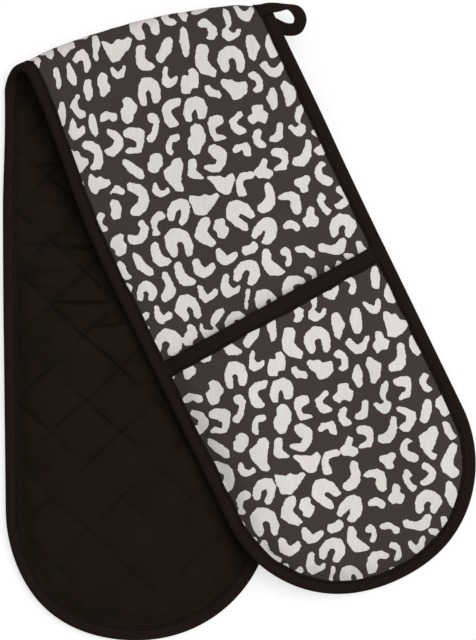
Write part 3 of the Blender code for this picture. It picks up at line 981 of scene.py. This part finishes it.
def print_faces(spots):
    free, beside_tape, before_mouth = PRINT_RIPPLES
    lift = free * waves(spots.across, spots.along, PRINT_WAVE, 41) * spots.full
    lift = lift + beside_tape * tape_pull(spots, 43)
    near_mouth = np.exp(-np.abs(spots.past_mouth) / MOUTH_REACH)
    lift = lift + before_mouth * near_mouth * ripple(spots.across, MOUTH_PITCH)
    outer = body_half(spots) + np.where(spots.front, lift, -np.abs(lift))
    return outer, outer - CLOTH


def wadding_faces(spots):
    half = body_half(spots) - CLOTH - 2 * LAYER_GAP
    low = -half + drawn_in(spots) + WADDING_CLEAR * spots.full
    return half - WADDING_TOP, np.minimum(low, half - WADDING_BOTTOM)


# %% Making a layer
# For each layer: its material slot, its piece, the solid that it replaces, and the heights of its faces.
STRIP_LAYERS = (
    ("lining_cloth", "quilted_lining", "lining", lining_faces),
    ("wadding", "wadding_felt", "wadding", wadding_faces),
    ("print_cloth", "printed_cloth", "print", print_faces),
)
FINISHES = {"lining_cloth": LINING_CLOTH, "wadding": WADDING_FELT, "print_cloth": SPOTTED_PRINT}
WADDING_INSET = TAPE_SEAT + 0.0004


def stored_values(slot, across, along, shift):
    """The numbers that a finish reads at each point. A shift says where the piece was cut from the print."""
    if slot == "lining_cloth":
        return quilt_values(across, along)
    if slot == "print_cloth":
        return dict(zip(("spot_depth", "spot_tint"), spot_depth(across + shift[0], along + shift[1], SPOTS)))
    return {}


def add_layer(name, grid, slot, faces, shift=(0.0, 0.0)):
    """A thin solid over a grid of the flat strip. faces gives the heights of its outer and inner side."""
    outer, inner = (place(*grid, height) for height in faces(Spots(*grid)))
    piece = add_shell(name, outer, inner, grid, FINISHES[slot], stored_values(slot, *grid, shift))
    return piece


def bend_at_fold(piece):
    """Bakes a fold piece's placing into its mesh."""
    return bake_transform(piece)


def faces_of(pieces):
    return {slot: len(piece.data.polygons) for slot, piece in pieces.items()}


# %% Rear and front layers
for half in HALVES:
    # The front's print and the rear's lining show. What lies hidden gets a coarser grid.
    seen = half is FRONT
    lining_rows = rows_between(FOLD_ZONE, half.cap, HIDDEN_STEP if seen else LINING_STEP)
    wadding_rows = rows_between(FOLD_ZONE, half.cap, WADDING_STEP)
    open_rows = rows_between(FOLD_ZONE, half.mouth + COVERED, PRINT_STEP if seen else HIDDEN_STEP)
    print_rows = np.concatenate([open_rows, rows_between(half.mouth + COVERED, half.cap, HIDDEN_STEP)[1:]])
    grids = (
        (lining_rows, LINING_STEP, TAPE_SEAT),
        (wadding_rows, WADDING_STEP, WADDING_INSET),
        (print_rows, PRINT_STEP if seen else LINING_STEP, TAPE_SEAT),
    )
    pieces = {}
    for (slot, label, solid, faces), (rows, step, inset) in zip(STRIP_LAYERS, grids):
        grid = flat_grid(half, rows, columns_for(step), inset)
        pieces[slot] = add_layer(f"{half.name}_{label}", grid, slot, faces)
        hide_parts(f"{half.name}_{solid}")
        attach(pieces[slot], f"{half.name}_half")
    print(half.name, "faces:", faces_of(pieces))

# %% The fold
pieces = {}
for (slot, label, _, faces), step in zip(STRIP_LAYERS, (LINING_STEP, WADDING_STEP, PRINT_STEP)):
    pieces[slot] = add_layer(f"fold_{label}", fold_grid(step), slot, faces)
    bend_at_fold(pieces[slot])
print("fold faces:", faces_of(pieces))

# %% [markdown]
# ## The hand pockets
# Each pocket is a padded panel with a straight mouth and a round end, cut from the same print. Its three
# layers are sewn into the strip's edge, and open between the seams for a hand. When a pocket opens, the
# panel's middle lifts and its seams stay shut. So each layer is made in a left and a right piece that meet
# on the centre line.

# %% Pocket panels
PANEL_INSET = 0.0022
PRINT_SHIFT = {"front": (0.031, 0.083), "rear": (0.070, 0.020)}
# How much of the strip's quilting shows inside a pocket, and the thinnest that its cloth gets at the seam.
POCKET_QUILTING = 0.35
SEAM_CLOTH = 0.35
PANEL_RIPPLE = 0.00030
PANEL_WAVE = 0.038
# The ripples beside the band of the mouth: where they start, how far they run in and their length.
BAND_END = 0.014
BAND_REACH = 0.007
BAND_PITCH = 0.0105
# The panel's wadding: its gaps to the cloth at the seam and in the middle, and the thinnest that it gets.
PANEL_GAP = 0.05
PANEL_CLEAR = 0.0006
PANEL_THINNEST = 0.00015
# Where the panel starts to bend when the pocket opens, in from the edge.
SEAM_IN = 0.012


def pocket_cloth(spots):
    """Thickness of the pocket's lining and print, which thin out where the panel is pressed flat."""
    return np.minimum(CLOTH, SEAM_CLOTH * pocket_thickness(spots))


def pocket_lining_faces(spots):
    drawn = POCKET_QUILTING * quilting(spots.across, spots.along) * spots.full * (1.0 - spots.taped)
    low = pocket_base(spots) + drawn
    return low, low + pocket_cloth(spots)


def pocket_print_faces(spots):
    free = 1.0 - spots.taped
    lift = waves(spots.across, spots.along, PANEL_WAVE, 51) * spots.full + tape_pull(spots, 53)
    beside_band = np.exp(-np.maximum(spots.past_mouth - BAND_END, 0.0) / BAND_REACH)
    lift = PANEL_RIPPLE * free * (lift + beside_band * ripple(spots.across, BAND_PITCH, 1.0))
    outer = pocket_base(spots) + pocket_thickness(spots) + np.where(spots.front, lift, -np.abs(lift))
    return outer, outer - pocket_cloth(spots)


def pocket_wadding_faces(spots):
    thick, base = pocket_thickness(spots), pocket_base(spots)
    cloth = pocket_cloth(spots) + np.minimum(LAYER_GAP, PANEL_GAP * thick)
    low = base + cloth + POCKET_QUILTING * (QUILT_DEPTH + 2 * PUCKER) * spots.full
    return np.maximum(base + thick - cloth - PANEL_CLEAR * spots.full, low + PANEL_THINNEST), low


def seam_to_middle(piece, half, side):
    """Finds where a pocket's piece runs from its side seam to the pocket's middle, and bakes its placing into
    its mesh.
    """
    seam = side * (half.radius - SEAM_IN)
    start, end = (place(across, half.side * half.mouth, 0.0) for across in (seam, 0.0))
    end[2] = start[2]
    tuple(start)
    tuple(end)
    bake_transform(piece)


# %% Sewing the pockets
POCKET_LAYERS = (
    ("lining_cloth", "lining_cloth", "lining", pocket_lining_faces),
    ("wadding", "wadding_felt", "wadding", pocket_wadding_faces),
    ("print_cloth", "printed_cloth", "print", pocket_print_faces),
)
for half in HALVES:
    pieces = {side: {} for side, _ in SIDES}
    steps = (HIDDEN_STEP, WADDING_STEP, PRINT_STEP if half is FRONT else LINING_STEP)
    for (slot, label, solid, faces), step in zip(POCKET_LAYERS, steps):
        rows = rows_between(half.mouth + TAPE_SEAT, half.cap, step)
        across, along = flat_grid(half, rows, columns_for(step), PANEL_INSET, half.slope)
        middle = across.shape[1] // 2
        for (side, sign), part in zip(SIDES, (np.s_[:, : middle + 1], np.s_[:, middle:])):
            name = f"{half.name}_pocket_{label}_{side}"
            piece = add_layer(name, (across[part], along[part]), slot, faces, PRINT_SHIFT[half.name])
            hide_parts(f"{half.name}_pocket_{solid}")
            seam_to_middle(piece, half, sign)
            pieces[side][slot] = piece
    print(half.name, "pocket faces:", faces_of(pieces["left"]))

# %% [markdown]
# ## Binding tape
# Woven cotton tape is folded over the whole edge and stitched through near its inner edge. It is bias cut,
# so it goes round the ends, but it ripples a little there. Over the pockets it is thicker, because it holds
# the pocket's seam as well. The section is a folded strip: flat, a soft dip at the stitches, and a round
# turn over the edge. It is swept along the edge on the flat strip, and then folded with it.

# %% Tape section
STITCH_INSET = 0.0018
EDGE_TURN = 0.0026
TAPE_TOP = ((0.0, 0.30), (0.0003, 0.80), (0.0009, 0.97), (0.0014, 0.80), (STITCH_INSET, 0.62), (0.0022, 0.80),
            (0.0030, 1.0), (0.0042, 1.06), (0.0055, 1.06))
TURN_SAMPLES = 9
TURN = np.linspace(math.pi / 2, -math.pi / 2, TURN_SAMPLES)
TAPE_INWARD, TAPE_THICK = np.array(TAPE_TOP).T
# Painted shade across the tape's upper section: some at its inner edge, most along its stitches.
PAINTED_TAPE_SEAM_SHADE = np.array([0.35, 0.2, 0.0, 0.5, 1.0, 0.5, 0.0, 0.0, 0.0])
CLEARANCE = 0.00004


def tape_section(face, over, under):
    """Outer and inner outline of the folded tape, as distances from the edge and heights.

    face, over and under are arrays with one number for each section: the width of the tape's face, and the
    height of the cloth that it covers on the upper and the lower side.
    """
    face, over, under = face[:, None], over[:, None], under[:, None]
    top = face - TAPE_INWARD
    outlines = []
    for thick, start, high in ((TAPE * TAPE_THICK, 0.0, TAPE), (0 * TAPE_THICK + CLEARANCE, TAPE, CLEARANCE)):
        turn_x = start + (EDGE_TURN - start) * (1 - np.cos(TURN)) + 0 * face
        turn_h = (over - under) / 2 + ((over + under) / 2 + high) * np.sin(TURN)
        outlines.append(np.concatenate([top, turn_x, top[:, ::-1]], 1))
        outlines.append(np.concatenate([over + thick, turn_h, -under - thick[::-1]], 1))
    return outlines


def face_bump(outer_x, face):
    """1 in the middle of the tape's face, 0 at its stitches and at the turn over the edge."""
    share = (outer_x - EDGE_TURN) / (face[:, None] - STITCH_INSET - EDGE_TURN)
    return np.where((share > 0) & (share < 1), np.sin(np.clip(share, 0, 1) * math.pi), 0.0)


def add_tape(name, outer, inner, flat):
    """A piece of folded tape, with the strength of its painted shade stored at each point."""
    # The painted shade lies on the upper and lower faces of the tape, none round its turn.
    seam = np.concatenate([PAINTED_TAPE_SEAM_SHADE, np.zeros(TURN_SAMPLES), PAINTED_TAPE_SEAM_SHADE[::-1]])
    tape = add_shell(name, outer, inner, flat, BINDING_CLOTH, {"seam": np.tile(seam, (len(outer), 1))})
    print(name, "faces:", len(tape.data.polygons))
    return tape


# %% Edge tape
TAPE_STEP = 0.0018
FOLD_TAPE_STEP = 0.0012
EDGE_RIPPLE = 0.0083
FACE_TRIM = 0.0002
FACE_UNEVEN = 0.00035
# How deep the tape ripples on a straight edge and how much more on a round one, and its slant.
STRAIGHT_DEEP = 0.00012
ROUND_DEEPER = 0.00022
BIAS = 0.9
# Where the pocket's seam starts to lift the tape before the mouth, and over what length.
SEAM_BEFORE = 0.005
SEAM_EASE = 0.008
WEAVE_ACROSS_TAPE = 0.0011


def edge_path(half):
    """The strip's edge from the fold zone down the right side, round the end and up the left side."""
    down = rows_between(FOLD_ZONE, half.cap, TAPE_STEP)
    turns = np.linspace(0.0, math.pi, round(math.pi * half.radius / TAPE_STEP) + 1)[1:-1]
    wide, zero, one = half_width(half, down), 0 * down, np.ones_like(down)
    across = np.concatenate([wide, half.radius * np.cos(turns), -wide[::-1]])
    reach = np.concatenate([down, half.cap + half.radius * np.sin(turns), down[::-1]])
    inward_across = np.concatenate([-one, -np.cos(turns), one])
    inward_along = np.concatenate([zero, -np.sin(turns), zero])
    curved = np.concatenate([zero, np.sin(turns) ** 0.5, zero])
    return across, half.side * reach, inward_across, half.side * inward_along, curved


def fold_edge_path(side):
    """The edge through the fold on one side, from the rear half to the front half."""
    along = np.linspace(-FOLD_ZONE, FOLD_ZONE, 2 * round(FOLD_ZONE / FOLD_TAPE_STEP) + 1)
    spots = Spots(0.0, along)
    zero = 0 * along
    return side * half_width(spots, spots.reach), along, zero - side, zero, zero


def cloth_over_edge(across, along):
    """Height of the cloth that the tape covers on the printed side, with the pocket's seam where it is."""
    past = Spots(across, along).past_mouth
    return BODY_EDGE / 2 + (SEAM_GAP + POCKET_SEAM) * smooth((past + SEAM_BEFORE) / SEAM_EASE)


def add_edge_tape(name, path, seed):
    """The folded tape all along a path on the flat strip, and the width of its face at each section."""
    across, along, inward_across, inward_along, curved = path
    run = run_along(np.stack([across, along], -1))
    face = BINDING_FACE - FACE_TRIM + FACE_UNEVEN * waves(run, 0.0, 0.035, seed)
    over = cloth_over_edge(across, along)
    outer_x, outer_h, inner_x, inner_h = tape_section(face, over, BODY_EDGE / 2 + 0 * over)
    bias = run[:, None] + BIAS * outer_x
    rippled = ripple(bias, EDGE_RIPPLE, 3.0 * waves(run, 0.0, 0.06, seed + 1)[:, None])
    rippled = rippled * (0.6 + 0.4 * waves(run, 0.0, 0.045, seed + 2)[:, None])
    amount = STRAIGHT_DEEP + ROUND_DEEPER * curved[:, None]
    outer_h = outer_h - np.sign(outer_h) * face_bump(outer_x, face) * amount * (1.0 + rippled)
    outer, inner = (
        place(across[:, None] + inward_across[:, None] * x, along[:, None] + inward_along[:, None] * x, h)
        for x, h in ((outer_x, outer_h), (inner_x, inner_h))
    )
    flat = np.broadcast_arrays(run[:, None], np.arange(outer_x.shape[1])[None, :] * WEAVE_ACROSS_TAPE)
    return add_tape(name, outer, inner, flat), face


tape_faces = {}
for half in HALVES:
    tape, tape_faces[half.name] = add_edge_tape(f"{half.name}_edge_tape", edge_path(half), 61 + half.side)
    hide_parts(f"{half.name}_edge_binding")
    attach(tape, f"{half.name}_half")
for label, side in SIDES[::-1]:
    tape, tape_faces[label] = add_edge_tape(f"fold_edge_tape_{label}", fold_edge_path(side), 71 + side)
    bend_at_fold(tape)

# %% Mouth tape
MOUTH_RIPPLE = 0.0125
MOUTH_DEEP = 0.00016
MOUTH_BIAS = 0.8
MOUTH_TRIM = 0.0001
MOUTH_UNEVEN = 0.0005
MOUTH_END = 0.0045
PRESSED = 0.25


def mouth_face(across):
    """The width of the tape's face over a pocket's mouth."""
    return MOUTH_BAND - MOUTH_TRIM + MOUTH_UNEVEN * waves(across, 0.0, 0.030, 83)


def mouth_tape(half, side):
    """The folded tape over half of a pocket's mouth, as outer and inner points."""
    across = side * rows_between(0.0, half.radius - MOUTH_END, TAPE_STEP)
    face = mouth_face(across)
    outer_x, _, inner_x, _ = tape_section(face, 0 * across, 0 * across)
    thick = np.concatenate([TAPE_THICK, np.ones(TURN_SAMPLES), TAPE_THICK[::-1]])
    top = np.ones(len(TAPE_THICK))
    share = np.concatenate([top, np.sin(TURN), -top])
    rippled = 1.0 + ripple(across[:, None] + MOUTH_BIAS * outer_x, MOUTH_RIPPLE, 1.7)
    sunk = face_bump(outer_x, face) * MOUTH_DEEP * rippled

    def on_panel(x, thick):
        point_across = across[:, None] + 0 * x
        point_along = half.side * (half.mouth + x) + point_across * half.slope
        spots = Spots(point_across, point_along)
        panel = pocket_thickness(spots) / 2
        pressed = np.where(share > 0, 1.0, spots.full * (1 - PRESSED) + PRESSED)
        height = pocket_base(spots) + panel + share * (panel + thick * pressed)
        return place(point_across, point_along, height), (point_along, point_across)

    outer, flat = on_panel(outer_x, TAPE * thick - sunk)
    return outer, on_panel(inner_x, CLEARANCE)[0], flat


for half in HALVES:
    for label, side in SIDES:
        tape = add_tape(f"{half.name}_mouth_tape_{label}", *mouth_tape(half, side))
        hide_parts(f"{half.name}_pocket_mouth_binding")
        seam_to_middle(tape, half, side)

# %% [markdown]
# ## Stitches
# Seams are what makes cloth look sewn. Each stitch is a short piece of thread that comes up, lies on the
# cloth for about three millimetres and goes down again. They are all made by one function, which walks
# along a line on the flat strip and lays a small four-sided tube for each stitch. The stitches of one seam
# on one part are a single mesh.

# %% Stitch maker
THREAD_RADIUS = 0.00021
STITCH_SHARES = np.array([-0.5, -0.3, 0.0, 0.3, 0.5])
STITCH_LIFTS = np.array([-0.00030, 0.00008, 0.00014, 0.00008, -0.00030])


def stitch_tubes(across, along, height, up, pitch=0.0036, length=0.0029):
    """Tubes for the stitches along a line. up is 1 where the seam shows on the printed side, else -1."""
    run = run_along(place(across, along, height))
    count = int(run[-1] // pitch)
    centres = (np.arange(count) + 0.5) * run[-1] / count
    at = centres[:, None] + STITCH_SHARES * length
    across, along, height = (np.interp(at, run, values) for values in (across, along, height))
    lifted = height + up * STITCH_LIFTS
    points = place(across, along, lifted)
    normal = unit(place(across, along, lifted + up * 0.0002) - points)
    beside = unit(np.cross(np.gradient(points, axis=1), normal))
    turns = math.pi / 4 + np.arange(4) * math.pi / 2
    corners = [points + THREAD_RADIUS * (math.cos(turn) * normal + math.sin(turn) * beside) for turn in turns]
    return np.stack(corners, axis=2)


def add_stitching(name, tubes):
    """One mesh from the tubes of several seams."""
    tubes = np.concatenate(tubes)
    count, rings = tubes.shape[:2]
    index = np.arange(count * rings * 4).reshape(count, rings, 4)
    after = np.roll(index, -1, axis=2)
    sides = np.stack([index[:, :-1], after[:, :-1], after[:, 1:], index[:, 1:]], -1).reshape(-1, 4)
    quads = np.concatenate([sides, index[:, 0, ::-1], index[:, -1]])
    points = tubes.reshape(-1, 3)
    first, second, _, fourth = points[quads[0]]
    if np.cross(second - first, fourth - first) @ (first - tubes[0, 0].mean(0)) < 0:
        quads = quads[:, ::-1]
    flat = np.stack([np.tile(np.arange(rings * 4) * 0.0004, count), np.arange(len(points)) * 0.0001], -1)
    print(name, count, "stitches")
    return build_mesh(name, points, quads, flat, THREAD)


# %% Edge and mouth stitches
SEAM_LEVEL = 0.62 * TAPE
# How far from the centre line and from the edge the mouth's stitches begin and end.
FIRST_STITCH = 0.0015
LAST_STITCH = 0.011


def both_faces(across, along, over, under):
    """The stitches on the upper and the lower face of a folded tape that covers these two heights."""
    upper = stitch_tubes(across, along, over + SEAM_LEVEL, 1)
    return [upper, stitch_tubes(across, along, under - SEAM_LEVEL, -1)]


def edge_seams(path, face):
    """The stitches on both faces of an edge tape."""
    across, along, inward_across, inward_along, _ = path
    seam = face - STITCH_INSET
    over, under = cloth_over_edge(across, along), 0 * across - BODY_EDGE / 2
    return both_faces(across + inward_across * seam, along + inward_along * seam, over, under)


for half in HALVES:
    seams = edge_seams(edge_path(half), tape_faces[half.name])
    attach(add_stitching(f"{half.name}_edge_stitching", seams), f"{half.name}_half")
seams = [seam for label, side in SIDES[::-1] for seam in edge_seams(fold_edge_path(side), tape_faces[label])]
bend_at_fold(add_stitching("fold_edge_stitching", seams))
for half in HALVES:
    for label, side in SIDES:
        across = side * rows_between(FIRST_STITCH, half.radius - LAST_STITCH, TAPE_STEP)
        along = half.side * (half.mouth + mouth_face(across) - STITCH_INSET) + across * half.slope
        spots = Spots(across, along)
        base = pocket_base(spots)
        seams = both_faces(across, along, base + pocket_thickness(spots), base)
        seam_to_middle(add_stitching(f"{half.name}_mouth_stitching_{label}", seams), half, side)

# %% Quilting stitches
LINES_EACH_WAY = 30
LINE_REACH = 1.6
LINE_STEP = 0.0012
LINE_CLEAR = 0.0008
FEWEST_POINTS = 8
QUILT_STITCH = {"pitch": 0.0038, "length": 0.0030}


def quilt_lines():
    """Every line of quilting on the strip, as points on the flat cloth inside the tape."""
    for sign in (1, -1):
        ahead = np.array([QUILT_ACROSS, -sign * QUILT_ALONG]) / QUILT_DIAGONAL
        beside = np.array([QUILT_ALONG, sign * QUILT_ACROSS]) / QUILT_DIAGONAL
        for number in range(-LINES_EACH_WAY, LINES_EACH_WAY + 1):
            start = np.array([QUILT_PLACE[0] + number * QUILT_ACROSS, QUILT_PLACE[1]])
            straight = points = start + np.arange(-LINE_REACH, LINE_REACH, LINE_STEP)[:, None] * ahead
            for _ in range(2):
                points = straight - (wander(*points.T, sign) * QUILT_SPACING)[:, None] * beside
            points = points[Spots(*points.T).edge > BINDING_FACE + LINE_CLEAR]
            if len(points) > FEWEST_POINTS:
                yield points


lines = list(quilt_lines())
ends = (-STRIP_LENGTH / 2, -FOLD_ZONE, FOLD_ZONE, STRIP_LENGTH / 2)
for part, low, high in zip(("rear", "fold", "front"), ends, ends[1:]):
    inside = [line[(line[:, 1] >= low) & (line[:, 1] <= high)].T for line in lines]
    seams = [
        stitch_tubes(*line, lining_faces(Spots(*line))[0], -1, **QUILT_STITCH)
        for line in inside if line.shape[1] > 6
    ]
    stitching = add_stitching(f"{part}_quilt_stitching", seams)
    if part == "fold":
        bend_at_fold(stitching)
    else:
        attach(stitching, part + "_half")

# %% [markdown]
# ## The hanging loop
# A short length of the same tape is sewn into the edge at the crest's right end. It leaves the crest flat,
# turns round tightly, tipped a little, and comes back lower down to the edge, so that only a small eye is
# left.

# %% Loop
LOOP_POINTS = np.array([
    [0.0879, 0.3438, 0.0245],
    [0.0942, 0.3456, 0.0247],
    [0.1016, 0.3462, 0.0246],
    [0.1080, 0.3464, 0.0240],
    [0.1142, 0.3434, 0.0231],
    [0.1166, 0.3380, 0.0222],
    [0.1142, 0.3322, 0.0213],
    [0.1090, 0.3312, 0.0203],
    [0.1042, 0.3323, 0.0199],
    [0.0960, 0.3364, 0.0199],
])
LOOP_TIPS = np.radians([12.0, 24.0, 40.0, 56.0, 22.0, 12.0, 12.0, 16.0, 12.0, 6.0])
LOOP_WIDTH = 0.0088
LOOP_THICKNESS = 0.0013
LOOP_CRUMPLE = 0.00018
CRUMPLE_TURNS = 34
# The section of the loop's tape: the dip beside its stitches, and how much is left at its edges.
DIP_AT = 0.72
DIP_WIDE = 0.16
DIP_LEFT = 0.85
DIP_DEEP = 0.15
EDGE_LEFT = 0.25
EDGE_LOST = 0.75


def through(points, count):
    """A smooth curve through the points, sampled evenly."""
    padded = np.concatenate([2 * points[:1] - points[1:2], points, 2 * points[-1:] - points[-2:-1]])
    at = np.linspace(0, len(points) - 1 - 1e-9, count)
    i = at.astype(int)
    t = (at - i)[:, None]
    a, b, c, d = (padded[i + k] for k in range(4))
    return 0.5 * (2 * b + (c - a) * t + (2 * a - 5 * b + 4 * c - d) * t**2 + (3 * b - a - 3 * c + d) * t**3)


def loop_ribbon(count=90, columns=12):
    """The tape's two faces along the loop, slightly crowned across, and its flat coordinates."""
    centre = through(LOOP_POINTS, count)
    tips = through(LOOP_TIPS[:, None], count)
    ahead = unit(np.gradient(centre, axis=0))
    level = unit(np.cross(ahead, [0.0, 0.0, 1.0]))
    wide = np.cos(tips) * level + np.sin(tips) * np.cross(level, ahead)
    normal = np.cross(wide, ahead)[:, None]
    share = np.linspace(-1.0, 1.0, columns + 1)
    dip = DIP_LEFT + DIP_DEEP * np.minimum(np.abs(np.abs(share) - DIP_AT) / DIP_WIDE, 1.0)
    half = LOOP_THICKNESS / 2 * ((1.0 - np.abs(share) ** 6) * EDGE_LOST + EDGE_LEFT) * dip
    crumple = LOOP_CRUMPLE * np.sin(np.linspace(0, CRUMPLE_TURNS, count))[:, None] * (1 - share**2)
    over = share * LOOP_WIDTH / 2
    middle = centre[:, None] + wide[:, None] * over[:, None]
    top = middle + normal * (half + crumple)[..., None]
    bottom = middle - normal * (half - crumple)[..., None]
    return top, bottom, np.broadcast_arrays(run_along(centre)[:, None], over)


loop = add_shell("hanging_loop_tape", *loop_ribbon(), BINDING_CLOTH, {})
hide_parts("hanging_loop")
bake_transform(loop)
print("loop faces:", len(loop.data.polygons))

# %% [markdown]
# ## Table, light and camera
# The glove lies on a plain white table and is seen from straight above. The table is matt white and keeps
# the glove's soft shadow. It adds just enough light of its own, for rays from the camera and from gloss,
# to reach plain white. The light is an even sky with one broad soft lamp from the right.

# %% Table
TABLE_REACH = 3.0
TABLE_GREY = 0.42
TABLE_GLOW = 0.63
SKY = 0.47


def add_table():
    mesh = bpy.data.meshes.new("table_top")
    corners = [(x * TABLE_REACH, y * TABLE_REACH, 0.0) for x, y in ((-1, -1), (1, -1), (1, 1), (-1, 1))]
    mesh.from_pydata(corners, [], [(0, 1, 2, 3)])
    table = add_object("table_top", mesh)
    table.location = (0.07, 0.13, -0.0004)
    material, shader = start_material("table_white", 0.9, 0.0)
    rays = node("LightPath", tree=material.node_tree).outputs
    seen = maths("MAXIMUM", rays["Is Camera Ray"], rays["Is Glossy Ray"])
    seen = maths("MAXIMUM", seen, rays["Is Transmission Ray"])
    shader["Base Color"].default_value = (TABLE_GREY, TABLE_GREY, TABLE_GREY, 1.0)
    shader["Emission Color"].default_value = (1.0, 1.0, 1.0, 1.0)
    link(maths("MULTIPLY", seen, TABLE_GLOW), shader["Emission Strength"])
    mesh.materials.append(material)
    return table


print("table faces:", len(add_table().data.polygons))

# %% Light and camera
LAMP_STRENGTH = 1.85
LAMP_SOFTNESS = math.radians(46)
CAMERA_PLACE = (0.0710, 0.1302, 1.510)
CAMERA_TURN = math.radians(-0.644)
LENS = 120.8
SENSOR = 36.0

world = bpy.data.worlds.new("studio_sky")
world.use_nodes = True
sky = world.node_tree.nodes["Background"].inputs
sky["Color"].default_value = (1.0, 1.0, 1.0, 1.0)
rays = node("LightPath", tree=world.node_tree).outputs
seen = {"Value": rays["Is Camera Ray"], "To Min": SKY, "To Max": 1.0}
link(node("MapRange", seen).outputs[0], sky["Strength"])
bpy.context.scene.world = world

lamp = add_object("soft_lamp", bpy.data.lights.new("soft_lamp", "SUN"))
lamp.data.energy = LAMP_STRENGTH
lamp.data.angle = LAMP_SOFTNESS
lamp.rotation_euler = (math.radians(-12), math.radians(28), 0.0)

camera = add_object("overhead_camera", bpy.data.cameras.new("overhead_camera"))
camera.data.lens = LENS
camera.data.sensor_width = SENSOR
camera.location = CAMERA_PLACE
camera.rotation_euler = (0.0, 0.0, CAMERA_TURN)
bpy.context.scene.camera = camera
bpy.context.scene.view_settings.view_transform = "Standard"
print("camera at", [round(c, 3) for c in camera.location])
